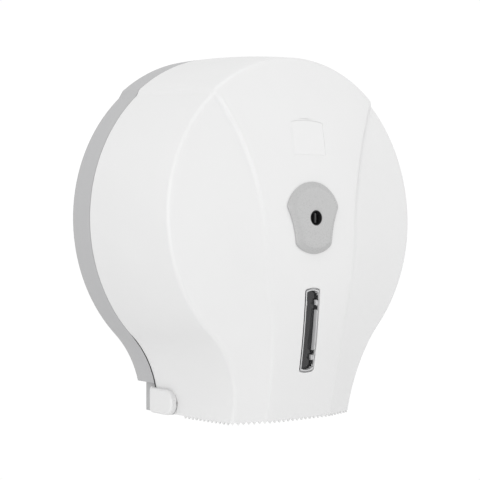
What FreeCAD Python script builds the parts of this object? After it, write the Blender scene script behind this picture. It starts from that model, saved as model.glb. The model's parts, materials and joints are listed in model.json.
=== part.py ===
import FreeCAD, Part
import math
import os
from FreeCAD import Vector

# Wall dispenser for one large paper roll: a grey back plate screwed to the wall, a white domed
# cover that tips forward on two bottom hinges, a turning hub on a fixed spindle post, and a
# quarter-turn lock in the middle of the cover that catches the end of the post.
# Millimetres. The origin is on the wall, on the roll axis. X runs to the right, Y into the wall
# and Z up, so a depth is the distance that a point stands out from the wall.

# Outline, shared by the back plate and the cover
plate_radius = 128.0
neck_half_width = 66.0
neck_arc_radius = 80.0
neck_straight = 3.35
side_crown_radius = 790.0
side_sections = 6
cap_step = 2.2
cap_half_angle = 41.0
overrun = 10.0
neck_arc_across = neck_half_width + neck_arc_radius
neck_arc_drop = math.sqrt((plate_radius + neck_arc_radius) ** 2 - neck_arc_across**2)
bottom_drop = neck_arc_drop + neck_straight

# Back plate
plate_depth = 23.6
plate_wall = 2.5
plate_base = 2.5
seat_radius = 36.0
seat_height = 2.5
rib_count = 8
rib_width = 2.0
rib_height = 3.0
ring_rib_radius = 80.0
lip_reach = 4.6
lip_thickness = 1.8
lip_clearance = 0.5
lip_root = 5.4
lip_low_drop = 40.0
wall_hole_half_x = 60.0
wall_hole_half_z = 65.0
wall_hole_radius = 2.5
wall_boss_radius = 7.0
wall_boss_height = 2.5

# Hinges: the ears on the back plate, the pins and the lugs on the cover
hinge_setback = 2.6
hinge_rise = 9.2
ear_inset = 5.8
ear_thickness = 3.0
ear_below_pin = 11.0
ear_round = 8.0
ledge_above_pin = 13.0
ledge_floor = 2.5
pin_radius = 3.0
pin_clearance = 0.05
pin_head_radius = 5.0
pin_head_height = 2.0
pin_end_gap = 0.3
lug_width = 7.2
lug_end_wall = 1.6
lug_gap = 0.3
lug_back_reach = 9.0
lug_front_reach = 29.0
lug_height = 20.0
lug_back_round = 4.0
lug_front_round = 9.0
lug_edge_round = 1.6
hinge_depth = plate_depth - hinge_setback
hinge_drop = bottom_drop - hinge_rise
ledge_drop = hinge_drop - ledge_above_pin
ear_bottom_drop = hinge_drop + ear_below_pin
ear_half_width = neck_half_width - ear_inset
pin_engagement = lug_width - lug_end_wall
lug_back_depth = hinge_depth - lug_back_reach
lug_front_depth = hinge_depth + lug_front_reach

# Rubber buffers in the parting gap
parting_gap = 0.6
buffer_width = 1.6
buffer_length = 9.0
buffer_angles = (20.0, 70.0, 110.0, 160.0)

# Cover
cover_wall = 2.5
dome_depth = 135.2
dome_centre_drop = 20.0
dome_radius_up = 537.0
dome_radius_across = 385.0
dome_sweep = 64.0
front_fall = 15.7
crest_round = 4.5
tooth_pitch = 4.3
tooth_height = 2.0
tooth_thickness = 1.7
tooth_root = 1.0
tooth_width_share = 0.96
tooth_lug_gap = 5.0
front_back_depth = dome_depth - front_fall
tooth_first_depth = lug_front_depth + tooth_lug_gap

# The raised band's edge, from the shoulder where the band meets the cap down to below the
# bottom edge. Each row holds the height and the half width. Heights above the roll axis and all
# half widths are shares of the plate radius, heights below it are shares of the drop to the foot.
band_edge_shares = (
    (0.688, 0.591),
    (0.600, 0.540),
    (0.484, 0.484),
    (0.273, 0.410),
    (0.040, 0.359),
    (-0.146, 0.344),
    (-0.321, 0.312),
    (-0.466, 0.277),
    (-0.641, 0.262),
    (-0.762, 0.256),
    (-0.883, 0.250),
    (-1.000, 0.250),
)

# The two wings beside the band. Each row holds the height and half width of the wing's inner
# edge as above, how far that edge lies below the band as a share of the cap step, and the slope
# down from there to the crest. The first three rows lie hidden under the cap.
wing_station_shares = (
    (0.781, 0.313, 1.09, 0.132),
    (0.688, 0.453, 1.09, 0.154),
    (0.586, 0.484, 1.09, 0.175),
    (0.484, 0.484, 1.05, 0.190),
    (0.273, 0.410, 0.91, 0.200),
    (0.040, 0.359, 0.55, 0.210),
    (-0.146, 0.344, 0.27, 0.218),
    (-0.321, 0.312, 0.23, 0.222),
    (-0.466, 0.277, 0.23, 0.224),
    (-0.641, 0.262, 0.23, 0.244),
    (-0.762, 0.256, 0.23, 0.266),
    (-0.883, 0.250, 0.23, 0.288),
    (-1.000, 0.250, 0.23, 0.288),
)

# Bare name badge above the lock
badge_half_width = 15.5
badge_top_height = 72.0
badge_bottom_height = 47.5
badge_arch = 1.6
badge_recess = 1.0
badge_thickness = 0.8
badge_clearance = 0.15

# Lock plate on the outside of the cover
shield_top_height = 27.1
shield_shoulder_height = 8.4
shield_shoulder_half = 25.4
shield_foot_half = 17.4
shield_foot_drop = 20.1
shield_bottom_drop = 26.9
shield_waist_inset = 1.6
shield_rise = 3.0
shield_bevel = 3.2
shield_bevel_start = 0.9
keyhole_radius = 5.7
post_stub_radius = 3.0
post_stub_height = 17.0
post_stub_clearance = 0.3

# Window below the lock plate, and its lens
window_width = 14.8
window_gap = 26.7
window_foot_gap = 36.1
window_end_bulge = 1.2
lens_clearance = 0.15
lens_recess = 0.3
lens_thickness = 1.6
lens_skirt = 1.2
lens_skirt_depth = 7.0
lens_flange_width = 2.6
lens_flange_thickness = 1.2
lens_notch_length = 6.0
lens_notch_inset = 5.0
window_top_drop = shield_bottom_drop + window_gap
window_bottom_drop = bottom_drop - window_foot_gap

# Lock
lock_hole_radius = 8.0
lock_nose_radius = 7.7
lock_nose_gap = 0.3
lock_mouth_radius = 5.9
lock_barrel_radius = 9.5
lock_barrel_reach = 17.2
lock_flange_half_height = 23.0
lock_flange_half_width = 10.0
lock_flange_thickness = 2.6
lock_bore_radius = 5.25
plug_clearance = 0.1
plug_recess = 3.7
plug_back_wall = 2.6
plug_shoulder_gap = 0.1
plug_socket_radius = 4.4
plug_socket_depth = 5.0
plug_blade_width = 2.8
plug_blade_height = 7.4
tail_radius = 3.0
tail_tip_radius = 2.2
cam_gap = 1.0
cam_thickness = 2.8
cam_half_length = 10.0
cam_half_width = 2.5
cam_hole_clearance = 0.05
stop_washer_radius = 8.0
stop_washer_thickness = 1.0
clip_radius = 5.4
clip_thickness = 0.8
clip_mouth = 3.4
cam_screw_head_radius = 3.8
cam_screw_head_height = 1.8
cam_screw_radius = 1.2
cam_screw_length = 6.0
plate_screw_radius = 1.4
plate_screw_head_radius = 3.4
plate_screw_head_height = 1.8
plate_screw_length = 6.2
screw_slack = 0.05
lock_barrel_back_depth = dome_depth - lock_barrel_reach
plug_front_depth = dome_depth - plug_recess
plug_shoulder_depth = lock_barrel_back_depth + plug_back_wall

# Spindle post, hub and strike plate
post_radius = 17.0
post_bore = 13.5
post_flange_radius = 33.0
post_flange_thickness = 3.0
post_collar_radius = 21.0
post_collar_height = 2.9
post_recess = 22.2
spindle_screw_circle = 27.0
spindle_screw_count = 4
spindle_screw_radius = 1.75
spindle_screw_head_radius = 3.4
spindle_screw_head_height = 2.2
spindle_screw_length = 6.6
washer_radius = 22.0
washer_thickness = 1.1
hub_clearance = 0.1
hub_radius = 21.0
hub_disc_radius = 34.0
hub_disc_thickness = 2.5
hub_end_gap = 0.4
hub_lead = 1.6
strike_radius = 19.5
strike_thickness = 2.0
strike_slot_half_width = 10.6
strike_slot_top = 3.5
strike_slot_bottom = 9.5
strike_screw_offset = 15.25
strike_screw_radius = 1.25
strike_screw_head_radius = 2.3
strike_screw_head_height = 1.5
strike_screw_length = 9.0
drive_slot_width = 0.8
drive_slot_depth = 0.6
drive_slot_share = 0.62
post_front_depth = dome_depth - post_recess
cam_front_depth = post_front_depth - cam_gap

out_of_wall = Vector(0, -1, 0)
upwards = Vector(0, 0, 1)
sides = (("left", -1), ("right", 1))


def at(x, z, depth):
    return Vector(x, -depth, z)


def cylinder(radius, depth_from, depth_to, x=0, z=0):
    return Part.makeCylinder(radius, depth_to - depth_from, at(x, z, depth_from), out_of_wall)


def tube(outer, inner, depth_from, depth_to, x=0, z=0):
    bore = cylinder(inner, depth_from - overrun, depth_to + overrun, x, z)
    return cylinder(outer, depth_from, depth_to, x, z).cut(bore)


def block(x_from, x_to, z_from, z_to, depth_from, depth_to):
    corner = Vector(x_from, -depth_to, z_from)
    return Part.makeBox(x_to - x_from, depth_to - depth_from, z_to - z_from, corner)


def prism(edges, depth_from, depth_to):
    face = Part.Face(Part.Wire(edges))
    return face.extrude(Vector(0, depth_from - depth_to, 0))


def arc_edge(first, middle, last):
    return Part.Arc(first, middle, last).toShape()


def mirrored(shape):
    return shape.mirror(Vector(0, 0, 0), Vector(1, 0, 0))


# The outline is a large circle that two hollow arcs draw in to a straight neck. Insetting it by a
# distance keeps the arcs' centres, so every depth of the drafted walls has the same kind of outline.
def outline_wire(inset, depth, floor):
    radius = plate_radius - inset
    hollow = neck_arc_radius + inset
    cx, cz = neck_arc_across, -neck_arc_drop
    touch_x = cx * radius / (radius + hollow)
    touch_z = cz * radius / (radius + hollow)
    neck_x = cx - hollow
    half_turn = (math.atan2(touch_z - cz, touch_x - cx) + math.pi) / 2
    bend_x = cx + hollow * math.cos(half_turn)
    bend_z = cz + hollow * math.sin(half_turn)
    edges = [
        arc_edge(at(touch_x, touch_z, depth), at(0, radius, depth), at(-touch_x, touch_z, depth)),
        arc_edge(at(-touch_x, touch_z, depth), at(-bend_x, bend_z, depth), at(-neck_x, cz, depth)),
        Part.makeLine(at(-neck_x, cz, depth), at(-neck_x, floor, depth)),
        Part.makeLine(at(-neck_x, floor, depth), at(neck_x, floor, depth)),
        Part.makeLine(at(neck_x, floor, depth), at(neck_x, cz, depth)),
        arc_edge(at(neck_x, cz, depth), at(bend_x, bend_z, depth), at(touch_x, touch_z, depth)),
    ]
    return Part.Wire(edges)


def wall_inset(depth):
    # The side wall is straight out at the wall and leans in more and more towards the front
    return depth**2 / (2 * side_crown_radius)


def side_form(shrink, depth_from, depth_to, floor):
    wires = []
    for step in range(side_sections):
        depth = depth_from + (depth_to - depth_from) * step / (side_sections - 1)
        wires.append(outline_wire(shrink + wall_inset(depth), depth, floor))
    return Part.makeLoft(wires, True, False)


def cap_form(shrink, depth_from, depth_to):
    # The same leaning wall, turned full circle and a step wider
    points = []
    for depth in (depth_from, (depth_from + depth_to) / 2, depth_to):
        points.append(at(plate_radius + cap_step - shrink - wall_inset(depth), 0, depth))
    edges = [
        Part.makeLine(at(0, 0, depth_from), points[0]),
        arc_edge(*points),
        Part.makeLine(points[2], at(0, 0, depth_to)),
        Part.makeLine(at(0, 0, depth_to), at(0, 0, depth_from)),
    ]
    return Part.Face(Part.Wire(edges)).revolve(at(0, 0, 0), out_of_wall, 360)


def dome_drop(x, height):
    # How far the domed front falls back from its deepest point
    rise = (height + dome_centre_drop) ** 2 / (2 * dome_radius_up)
    return rise + x**2 / (2 * dome_radius_across)


def dome_form(shrink):
    # Everything behind the domed front: one long arc, crowned up and down, swept about an
    # upright axis behind the wall
    radius = dome_radius_up - shrink
    centre = dome_depth - dome_radius_up
    top = plate_radius + cap_step + overrun
    low = -(bottom_drop + 2 * overrun)

    def depth(height):
        return centre + math.sqrt(radius**2 - (height + dome_centre_drop) ** 2)

    arc = arc_edge(
        at(0, low, depth(low)),
        at(0, -dome_centre_drop, depth(-dome_centre_drop)),
        at(0, top, depth(top)),
    )
    edges = [
        Part.makeLine(at(0, low, 0), at(0, low, depth(low))),
        arc,
        Part.makeLine(at(0, top, depth(top)), at(0, top, 0)),
        Part.makeLine(at(0, top, 0), at(0, low, 0)),
    ]
    face = Part.Face(Part.Wire(edges))
    pivot = at(0, 0, dome_depth - dome_radius_across)
    face.rotate(pivot, upwards, -dome_sweep / 2)
    return face.revolve(pivot, upwards, dome_sweep)


def station_height(share):
    if share > 0:
        return plate_radius * share
    return (bottom_drop + 2 * overrun) * share


def wing_section(height, inner_half, step, slope, shrink):
    # One level cut through both wings: flat under the band, then falling to the crest
    far = plate_radius + overrun
    inner_depth = dome_depth - dome_drop(inner_half, height) - step - shrink
    far_depth = inner_depth - slope * (far - inner_half)
    points = [
        at(-far, height, 0),
        at(-far, height, far_depth),
        at(-inner_half, height, inner_depth),
        at(inner_half, height, inner_depth),
        at(far, height, far_depth),
        at(far, height, 0),
        at(-far, height, 0),
    ]
    return Part.makePolygon(points)


def wing_form(shrink):
    wires = []
    for height_share, half_share, step_share, slope_share in wing_station_shares:
        height = station_height(height_share)
        half = plate_radius * half_share
        wires.append(wing_section(height, half, cap_step * step_share, slope_share, shrink))
    return Part.makeLoft(wires, True, False)


def cap_direction(distance):
    turn = math.radians(cap_half_angle)
    return distance * math.sin(turn), distance * math.cos(turn)


def band_plan(shrink, depth_from, depth_to):
    # The cap and the band that runs down from it, seen from the front, each edge moved in by
    # the shrink
    in_x, in_z = cap_direction(shrink)
    left_points = []
    for height_share, half_share in band_edge_shares:
        half = plate_radius * half_share - shrink
        left_points.append(at(-half, station_height(height_share), depth_from))
    left_points[0].z += in_x
    right_points = [Vector(-point.x, point.y, point.z) for point in reversed(left_points)]
    left_curve = Part.BSplineCurve()
    left_curve.interpolate(left_points)
    right_curve = Part.BSplineCurve()
    right_curve.interpolate(right_points)
    far_x, far_z = cap_direction(2 * plate_radius)
    far_left = at(in_z - far_x, far_z + in_x, depth_from)
    far_right = at(far_x - in_z, far_z + in_x, depth_from)
    edges = [
        Part.makeLine(far_left, left_points[0]),
        left_curve.toShape(),
        Part.makeLine(left_points[-1], right_points[0]),
        right_curve.toShape(),
        Part.makeLine(right_points[-1], far_right),
        Part.makeLine(far_right, far_left),
    ]
    return prism(edges, depth_from, depth_to)


def faces_front(face):
    u_from, u_to, v_from, v_to = face.ParameterRange
    return abs(face.normalAt((u_from + u_to) / 2, (v_from + v_to) / 2).y) > math.cos(math.radians(45))


def rounded_crest(body, radius):
    # Rounds the edges where a body's front meets its side wall
    edges = []
    for edge in body.Edges:
        faces = body.ancestorsOfType(edge, Part.Face)
        fronts = [faces_front(face) for face in faces]
        box = edge.BoundBox
        level = box.ZLength < radius
        if len(faces) == 2 and fronts.count(True) == 1 and -box.YMax > dome_depth / 2 and not level:
            edges.append(edge)
    return body.makeFillet(radius, edges)


def cover_form(shrink, back_depth, floor):
    # The whole volume inside the cover's skin, from its back edge to its front. It takes in the
    # low body with the wings, and the raised cap and band.
    nose_depth = dome_depth + overrun
    low_body = side_form(shrink, back_depth, nose_depth, floor - overrun).common(wing_form(shrink))
    low_body = rounded_crest(low_body, crest_round - shrink)
    reach = plate_radius + overrun
    low_body = low_body.cut(block(-reach, reach, floor - 2 * overrun, floor, 0, nose_depth))
    cap_body = cap_form(shrink, back_depth, nose_depth).common(dome_form(shrink))
    cap_body = rounded_crest(cap_body, crest_round - shrink)
    band = band_plan(shrink, back_depth, nose_depth)
    cap_body = cap_body.common(band)
    # The neck reaches below the cap's circle, so the band is continued there by the dome alone
    neck_top = -plate_radius / 2
    neck_half = plate_radius * band_edge_shares[0][1]
    neck_body = block(-neck_half, neck_half, floor, neck_top, back_depth, nose_depth)
    neck_body = neck_body.common(dome_form(shrink)).common(band)
    return low_body.fuse([cap_body, neck_body])


def skin_layer(outer_drop, inner_drop):
    return dome_form(outer_drop).cut(dome_form(inner_drop))


def window_prism(margin, depth_from, depth_to):
    half = window_width / 2 + margin
    top = margin - window_top_drop
    low = -margin - window_bottom_drop
    edges = [
        Part.makeLine(at(-half, low, depth_from), at(-half, top, depth_from)),
        arc_edge(
            at(-half, top, depth_from),
            at(0, top + window_end_bulge, depth_from),
            at(half, top, depth_from),
        ),
        Part.makeLine(at(half, top, depth_from), at(half, low, depth_from)),
        arc_edge(
            at(half, low, depth_from),
            at(0, low - window_end_bulge, depth_from),
            at(-half, low, depth_from),
        ),
    ]
    return prism(edges, depth_from, depth_to)


def badge_prism(margin, depth_from, depth_to):
    half = badge_half_width + margin
    top = badge_top_height + margin
    low = badge_bottom_height - margin
    edges = [
        Part.makeLine(at(-half, low, depth_from), at(-half, top, depth_from)),
        arc_edge(
            at(-half, top, depth_from),
            at(0, top + badge_arch, depth_from),
            at(half, top, depth_from),
        ),
        Part.makeLine(at(half, top, depth_from), at(half, low, depth_from)),
        Part.makeLine(at(half, low, depth_from), at(-half, low, depth_from)),
    ]
    return prism(edges, depth_from, depth_to)


def foot_front(x):
    # Depth of the front at the cover's bottom edge
    _, half_share, step_share, slope_share = wing_station_shares[-2]
    half = plate_radius * half_share
    if x <= half:
        return dome_depth - dome_drop(x, -bottom_drop)
    inner_depth = dome_depth - dome_drop(half, -bottom_drop) - cap_step * step_share
    return inner_depth - slope_share * (x - half)


def foot_corner():
    # Where the front meets the side wall at the cover's bottom edge
    x = neck_half_width
    for _ in range(side_sections):
        x = neck_half_width - wall_inset(foot_front(x))
    return x, foot_front(x)


def tooth_path():
    # Middle line of the cover's bottom edge, from the left hinge lug round to the right one
    middle = cover_wall / 2
    corner_x, corner_depth = foot_corner()
    bend_radius = crest_round - middle
    bend_x = corner_x - crest_round
    bend_depth = corner_depth - crest_round
    bend_reach = bend_radius * math.cos(math.radians(45))
    half_way = (tooth_first_depth + corner_depth) / 2
    side_back = neck_half_width - wall_inset(tooth_first_depth) - middle
    side_half_way = neck_half_width - wall_inset(half_way) - middle
    band_x = plate_radius * band_edge_shares[-1][1]
    right = [
        (0, foot_front(0) - middle),
        (band_x, foot_front(band_x) - middle),
        (bend_x, foot_front(bend_x) - middle),
        (bend_x + bend_reach, bend_depth + bend_reach),
        (corner_x - middle, bend_depth),
        (side_half_way, half_way),
        (side_back, tooth_first_depth),
    ]
    left = [(-x, depth) for x, depth in reversed(right[1:])]
    return left + right


def cover_teeth():
    teeth = []
    path = tooth_path()
    start_at = tooth_pitch / 2
    for (x_a, depth_a), (x_b, depth_b) in zip(path[:-1], path[1:]):
        length = math.hypot(x_b - x_a, depth_b - depth_a)
        along_x = (x_b - x_a) / length
        along_depth = (depth_b - depth_a) / length
        place = start_at
        while place < length:
            x = x_a + along_x * place
            depth = depth_a + along_depth * place
            teeth.append(tooth(x, depth, along_x, along_depth))
            place += tooth_pitch
        start_at = place - length
    return teeth


def tooth(x, depth, along_x, along_depth):
    half = tooth_pitch / 2 * tooth_width_share
    thick = tooth_thickness / 2
    root = tooth_root - bottom_drop
    profile = []
    for along, height in ((-half, root), (0, -bottom_drop - tooth_height), (half, root)):
        px = x + along_x * along + along_depth * thick
        pd = depth + along_depth * along - along_x * thick
        profile.append(at(px, height, pd))
    face = Part.Face(Part.makePolygon(profile + [profile[0]]))
    return face.extrude(Vector(-along_depth * tooth_thickness, -along_x * tooth_thickness, 0))


def lug_inner():
    return ear_half_width + lug_gap


def hinge_lug():
    # Right-hand hinge boss of the cover, with a blind bore for the pin
    low = -hinge_drop - lug_height / 2
    inner = lug_inner()
    body = Part.makeBox(
        lug_width,
        lug_front_depth - lug_back_depth,
        lug_height,
        Vector(inner, -lug_front_depth, low),
    )
    back_edges = []
    for edge in body.Edges:
        box = edge.BoundBox
        level = box.XLength > lug_height / 4 and box.ZLength < lug_edge_round
        if level and -box.YMin < (lug_front_depth + lug_back_depth) / 2:
            back_edges.append(edge)
    body = body.makeFillet(lug_back_round, back_edges)
    front_edges = []
    for edge in body.Edges:
        box = edge.BoundBox
        level = box.ZLength < lug_edge_round and box.XLength > lug_height / 4
        if level and -box.YMax > lug_front_depth - lug_edge_round:
            front_edges.append(edge)
    body = body.makeFillet(lug_front_round, front_edges)
    rim = [edge for edge in body.Edges if edge.BoundBox.XMin > inner + lug_width - lug_edge_round / 2]
    return body.makeFillet(lug_edge_round, rim)


def lug_bore():
    start = Vector(ear_half_width - overrun, -hinge_depth, -hinge_drop)
    reach = overrun + lug_gap + pin_engagement
    return Part.makeCylinder(pin_radius + pin_clearance, reach, start, Vector(1, 0, 0))


def front_cover():
    back_depth = plate_depth + parting_gap
    outer = cover_form(0, back_depth, -bottom_drop)
    inner = cover_form(cover_wall, back_depth - overrun, -bottom_drop - overrun)
    cover = outer.cut(inner)
    lug = hinge_lug()
    cover = cover.fuse([lug, mirrored(lug)])
    cover = cover.cut([lug_bore(), mirrored(lug_bore())])
    cover = cover.cut(window_prism(0, front_back_depth - 2 * overrun, dome_depth + overrun))
    badge_well = badge_prism(0, front_back_depth, dome_depth + overrun).cut(dome_form(badge_recess))
    cover = cover.cut(badge_well)
    cover = cover.cut(cylinder(lock_hole_radius, front_back_depth, dome_depth + overrun))
    for height in (post_stub_height, -post_stub_height):
        hole_radius = post_stub_radius + post_stub_clearance
        cover = cover.cut(cylinder(hole_radius, front_back_depth, dome_depth + overrun, 0, height))
    return cover.fuse(cover_teeth()).removeSplitter()


def back_plate():
    reach = plate_radius + cap_step + overrun
    body = side_form(0, 0, plate_depth, -bottom_drop).fuse(cap_form(0, 0, plate_depth).common(cap_sector()))
    below = -bottom_drop - overrun
    body = body.cut(block(-reach, reach, below, -ledge_drop, -overrun, plate_depth + overrun))
    hollow = plate_room(plate_wall, plate_depth + overrun)
    hollow_cap = cap_form(plate_wall, plate_base, plate_depth + overrun).common(cap_sector())
    body = body.cut([hollow, hollow_cap])
    # The floor of the pan is open between the ears, where the paper hangs down
    mouth_half = ear_half_width - ear_thickness
    mouth_top = ledge_floor + overrun - ledge_drop
    mouth = block(-mouth_half, mouth_half, -bottom_drop, mouth_top, plate_base, plate_depth + overrun)
    body = body.cut(mouth)
    pieces = [plate_tab()]
    for _, side in sides:
        pieces.append(hinge_ear(side))
        for up in (-1, 1):
            x = side * wall_hole_half_x
            z = up * wall_hole_half_z
            pieces.append(cylinder(wall_boss_radius, plate_base, plate_base + wall_boss_height, x, z))
    pieces.append(cylinder(seat_radius, plate_base, plate_base + seat_height))
    pieces.extend(plate_ribs())
    pieces.append(locating_lip())
    body = body.fuse(pieces)
    cuts = []
    for _, side in sides:
        for up in (-1, 1):
            x = side * wall_hole_half_x
            z = up * wall_hole_half_z
            cuts.append(cylinder(wall_hole_radius, -overrun, plate_depth, x, z))
        cuts.append(ear_bore(side))
    for x, z in spindle_screw_places():
        deep = plate_base + seat_height + post_flange_thickness - spindle_screw_length
        cuts.append(cylinder(spindle_screw_radius + screw_slack, deep, plate_depth, x, z))
    return body.cut(cuts).removeSplitter()


def plate_room(inset, depth_to):
    # The space inside the pan's side wall, above its ledge
    reach = plate_radius + cap_step + overrun
    room = side_form(inset, plate_base, depth_to, -bottom_drop)
    below = -ledge_drop + ledge_floor
    return room.cut(block(-reach, reach, -bottom_drop - overrun, below, 0, depth_to + overrun))


def cap_sector():
    far_x, far_z = cap_direction(2 * plate_radius)
    corners = [at(0, 0, 0), at(-far_x, far_z, 0), at(far_x, far_z, 0), at(0, 0, 0)]
    return Part.Face(Part.makePolygon(corners)).extrude(Vector(0, -dome_depth, 0))


def plate_tab():
    # The back sheet goes on down between the ears
    high = -ledge_drop + ledge_floor
    return block(-ear_half_width, ear_half_width, -ear_bottom_drop, high, 0, plate_base)


def hinge_ear(side):
    inner = ear_half_width - ear_thickness
    low = -ear_bottom_drop
    high = -ledge_drop + ledge_floor
    plate = block(inner, ear_half_width, low, high, 0, hinge_depth)
    nose = Part.makeCylinder(
        ear_round, ear_thickness, Vector(inner, -hinge_depth, -hinge_drop), Vector(1, 0, 0)
    )
    ear = plate.fuse(nose)
    if side < 0:
        ear = mirrored(ear)
    return ear


def ear_bore(side):
    start = Vector(ear_half_width - ear_thickness - overrun, -hinge_depth, -hinge_drop)
    length = ear_thickness + 2 * overrun
    bore = Part.makeCylinder(pin_radius + pin_clearance, length, start, Vector(1, 0, 0))
    if side < 0:
        bore = mirrored(bore)
    return bore


def plate_ribs():
    ribs = []
    rib_front = plate_base + rib_height
    room = plate_room(plate_wall / 2, rib_front)
    reach = plate_radius + overrun
    for number in range(rib_count):
        turn = 360 * (number + 0.5) / rib_count
        rib = block(seat_radius - rib_width, reach, -rib_width / 2, rib_width / 2, plate_base, rib_front)
        rib.rotate(at(0, 0, 0), Vector(0, 1, 0), turn)
        ribs.append(rib.common(room))
    ring_outer = ring_rib_radius + rib_width / 2
    ring_inner = ring_rib_radius - rib_width / 2
    ribs.append(tube(ring_outer, ring_inner, plate_base, rib_front))
    return ribs


def locating_lip():
    # A raised lip just inside the cover's back edge, round the upper part only
    cover_back = plate_depth + parting_gap
    inside = plate_radius - wall_inset(cover_back + lip_reach) - cover_wall
    outer = inside - lip_clearance
    lip = tube(outer, outer - lip_thickness, plate_depth - lip_root, plate_depth + lip_reach)
    root_outer = plate_radius - plate_wall / 2
    root_outer -= wall_inset(plate_depth)
    root = tube(root_outer, outer - lip_thickness, plate_depth - lip_root, plate_depth)
    ring = lip.fuse(root)
    reach = plate_radius + cap_step
    keep = block(-reach, reach, -lip_low_drop, reach, 0, dome_depth)
    return ring.common(keep)


def buffers():
    # Short rubber strips on the back plate's front edge, where the closed cover rests
    strips = []
    middle = plate_radius - wall_inset(plate_depth) - plate_wall / 2
    for angle in buffer_angles:
        centre = middle
        if abs(angle - 90) < cap_half_angle:
            centre = middle + cap_step
        strip = block(
            centre - buffer_width / 2,
            centre + buffer_width / 2,
            -buffer_length / 2,
            buffer_length / 2,
            plate_depth,
            plate_depth + parting_gap,
        )
        strip.rotate(at(0, 0, 0), Vector(0, 1, 0), -angle)
        strips.append(strip)
    return Part.makeCompound(strips)


def hinge_pin():
    inner = ear_half_width - ear_thickness
    axis = Vector(1, 0, 0)
    length = ear_thickness + lug_gap + pin_engagement - pin_end_gap
    shank = Part.makeCylinder(pin_radius, length, Vector(inner, -hinge_depth, -hinge_drop), axis)
    head_start = Vector(inner - pin_head_height, -hinge_depth, -hinge_drop)
    head = Part.makeCylinder(pin_head_radius, pin_head_height, head_start, axis)
    return shank.fuse(head).removeSplitter()


def window_lens():
    near = front_back_depth - 2 * overrun
    far = dome_depth + overrun
    full = window_prism(-lens_clearance, near, far)
    inside = window_prism(-lens_clearance - lens_skirt, near, far)
    plate = full.common(skin_layer(lens_recess, lens_recess + lens_thickness))
    skirt_room = skin_layer(lens_recess + lens_thickness, lens_recess + lens_skirt_depth)
    skirt = full.cut(inside).common(skirt_room)
    flange_room = skin_layer(cover_wall, cover_wall + lens_flange_thickness)
    flange = window_prism(lens_flange_width, near, far).cut(inside).common(flange_room)
    notches = []
    half = window_width / 2
    for _, side in sides:
        for middle in (-window_top_drop - lens_notch_inset, -window_bottom_drop + lens_notch_inset):
            x_from = min(side * half, side * (half + 2 * lens_flange_width))
            notches.append(
                block(
                    x_from,
                    x_from + 2 * lens_flange_width,
                    middle - lens_notch_length / 2,
                    middle + lens_notch_length / 2,
                    near,
                    far,
                )
            )
    flange = flange.cut(notches)
    return plate.fuse([skirt, flange]).removeSplitter()


def name_badge():
    body = badge_prism(-badge_clearance, front_back_depth, dome_depth + overrun)
    return body.common(skin_layer(badge_recess - badge_thickness, badge_recess))


def shield_wire(inset, depth):
    # Outline of the lock plate: domed top, square shoulders, hollow sides and a bowed foot
    shoulder = shield_shoulder_half - inset
    shoulder_height = shield_shoulder_height - inset / 2
    foot = shield_foot_half - inset
    foot_height = inset / 2 - shield_foot_drop
    waist = (shoulder + foot) / 2 - shield_waist_inset
    waist_height = (shoulder_height + foot_height) / 2
    top = at(0, shield_top_height - inset, depth)
    bottom = at(0, inset - shield_bottom_drop, depth)
    edges = [
        arc_edge(at(-shoulder, shoulder_height, depth), top, at(shoulder, shoulder_height, depth)),
        arc_edge(
            at(shoulder, shoulder_height, depth),
            at(waist, waist_height, depth),
            at(foot, foot_height, depth),
        ),
        arc_edge(at(foot, foot_height, depth), bottom, at(-foot, foot_height, depth)),
        arc_edge(
            at(-foot, foot_height, depth),
            at(-waist, waist_height, depth),
            at(-shoulder, shoulder_height, depth),
        ),
    ]
    return Part.Wire(edges)


def lock_plate():
    skirt_back = front_back_depth
    skirt_front = dome_depth + shield_bevel_start
    straight = Part.Face(shield_wire(0, skirt_back)).extrude(Vector(0, skirt_back - skirt_front, 0))
    crown_depth = dome_depth + shield_rise
    bevel = Part.makeLoft([shield_wire(0, skirt_front), shield_wire(shield_bevel, crown_depth)], True, True)
    plate = straight.fuse(bevel)
    plate = plate.common(dome_form(-shield_rise)).cut(dome_form(0))
    stubs = []
    for height in (post_stub_height, -post_stub_height):
        stub = cylinder(post_stub_radius, front_back_depth, dome_depth, 0, height)
        stubs.append(stub.common(skin_layer(-shield_rise / 2, cover_wall)))
    plate = plate.fuse(stubs)
    cuts = [cylinder(keyhole_radius, front_back_depth, dome_depth + overrun)]
    for height in (post_stub_height, -post_stub_height):
        cuts.append(plate_screw_hole(height))
    return plate.cut(cuts).removeSplitter()


def flange_back_depth():
    # Flat back of the lock housing's flange
    highest = dome_depth - dome_drop(0, lock_flange_half_height)
    return highest - cover_wall - lock_flange_thickness


def plate_screw_hole(height):
    tip = flange_back_depth() + plate_screw_length
    return cylinder(plate_screw_radius + screw_slack, lock_barrel_back_depth, tip, 0, height)


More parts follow.
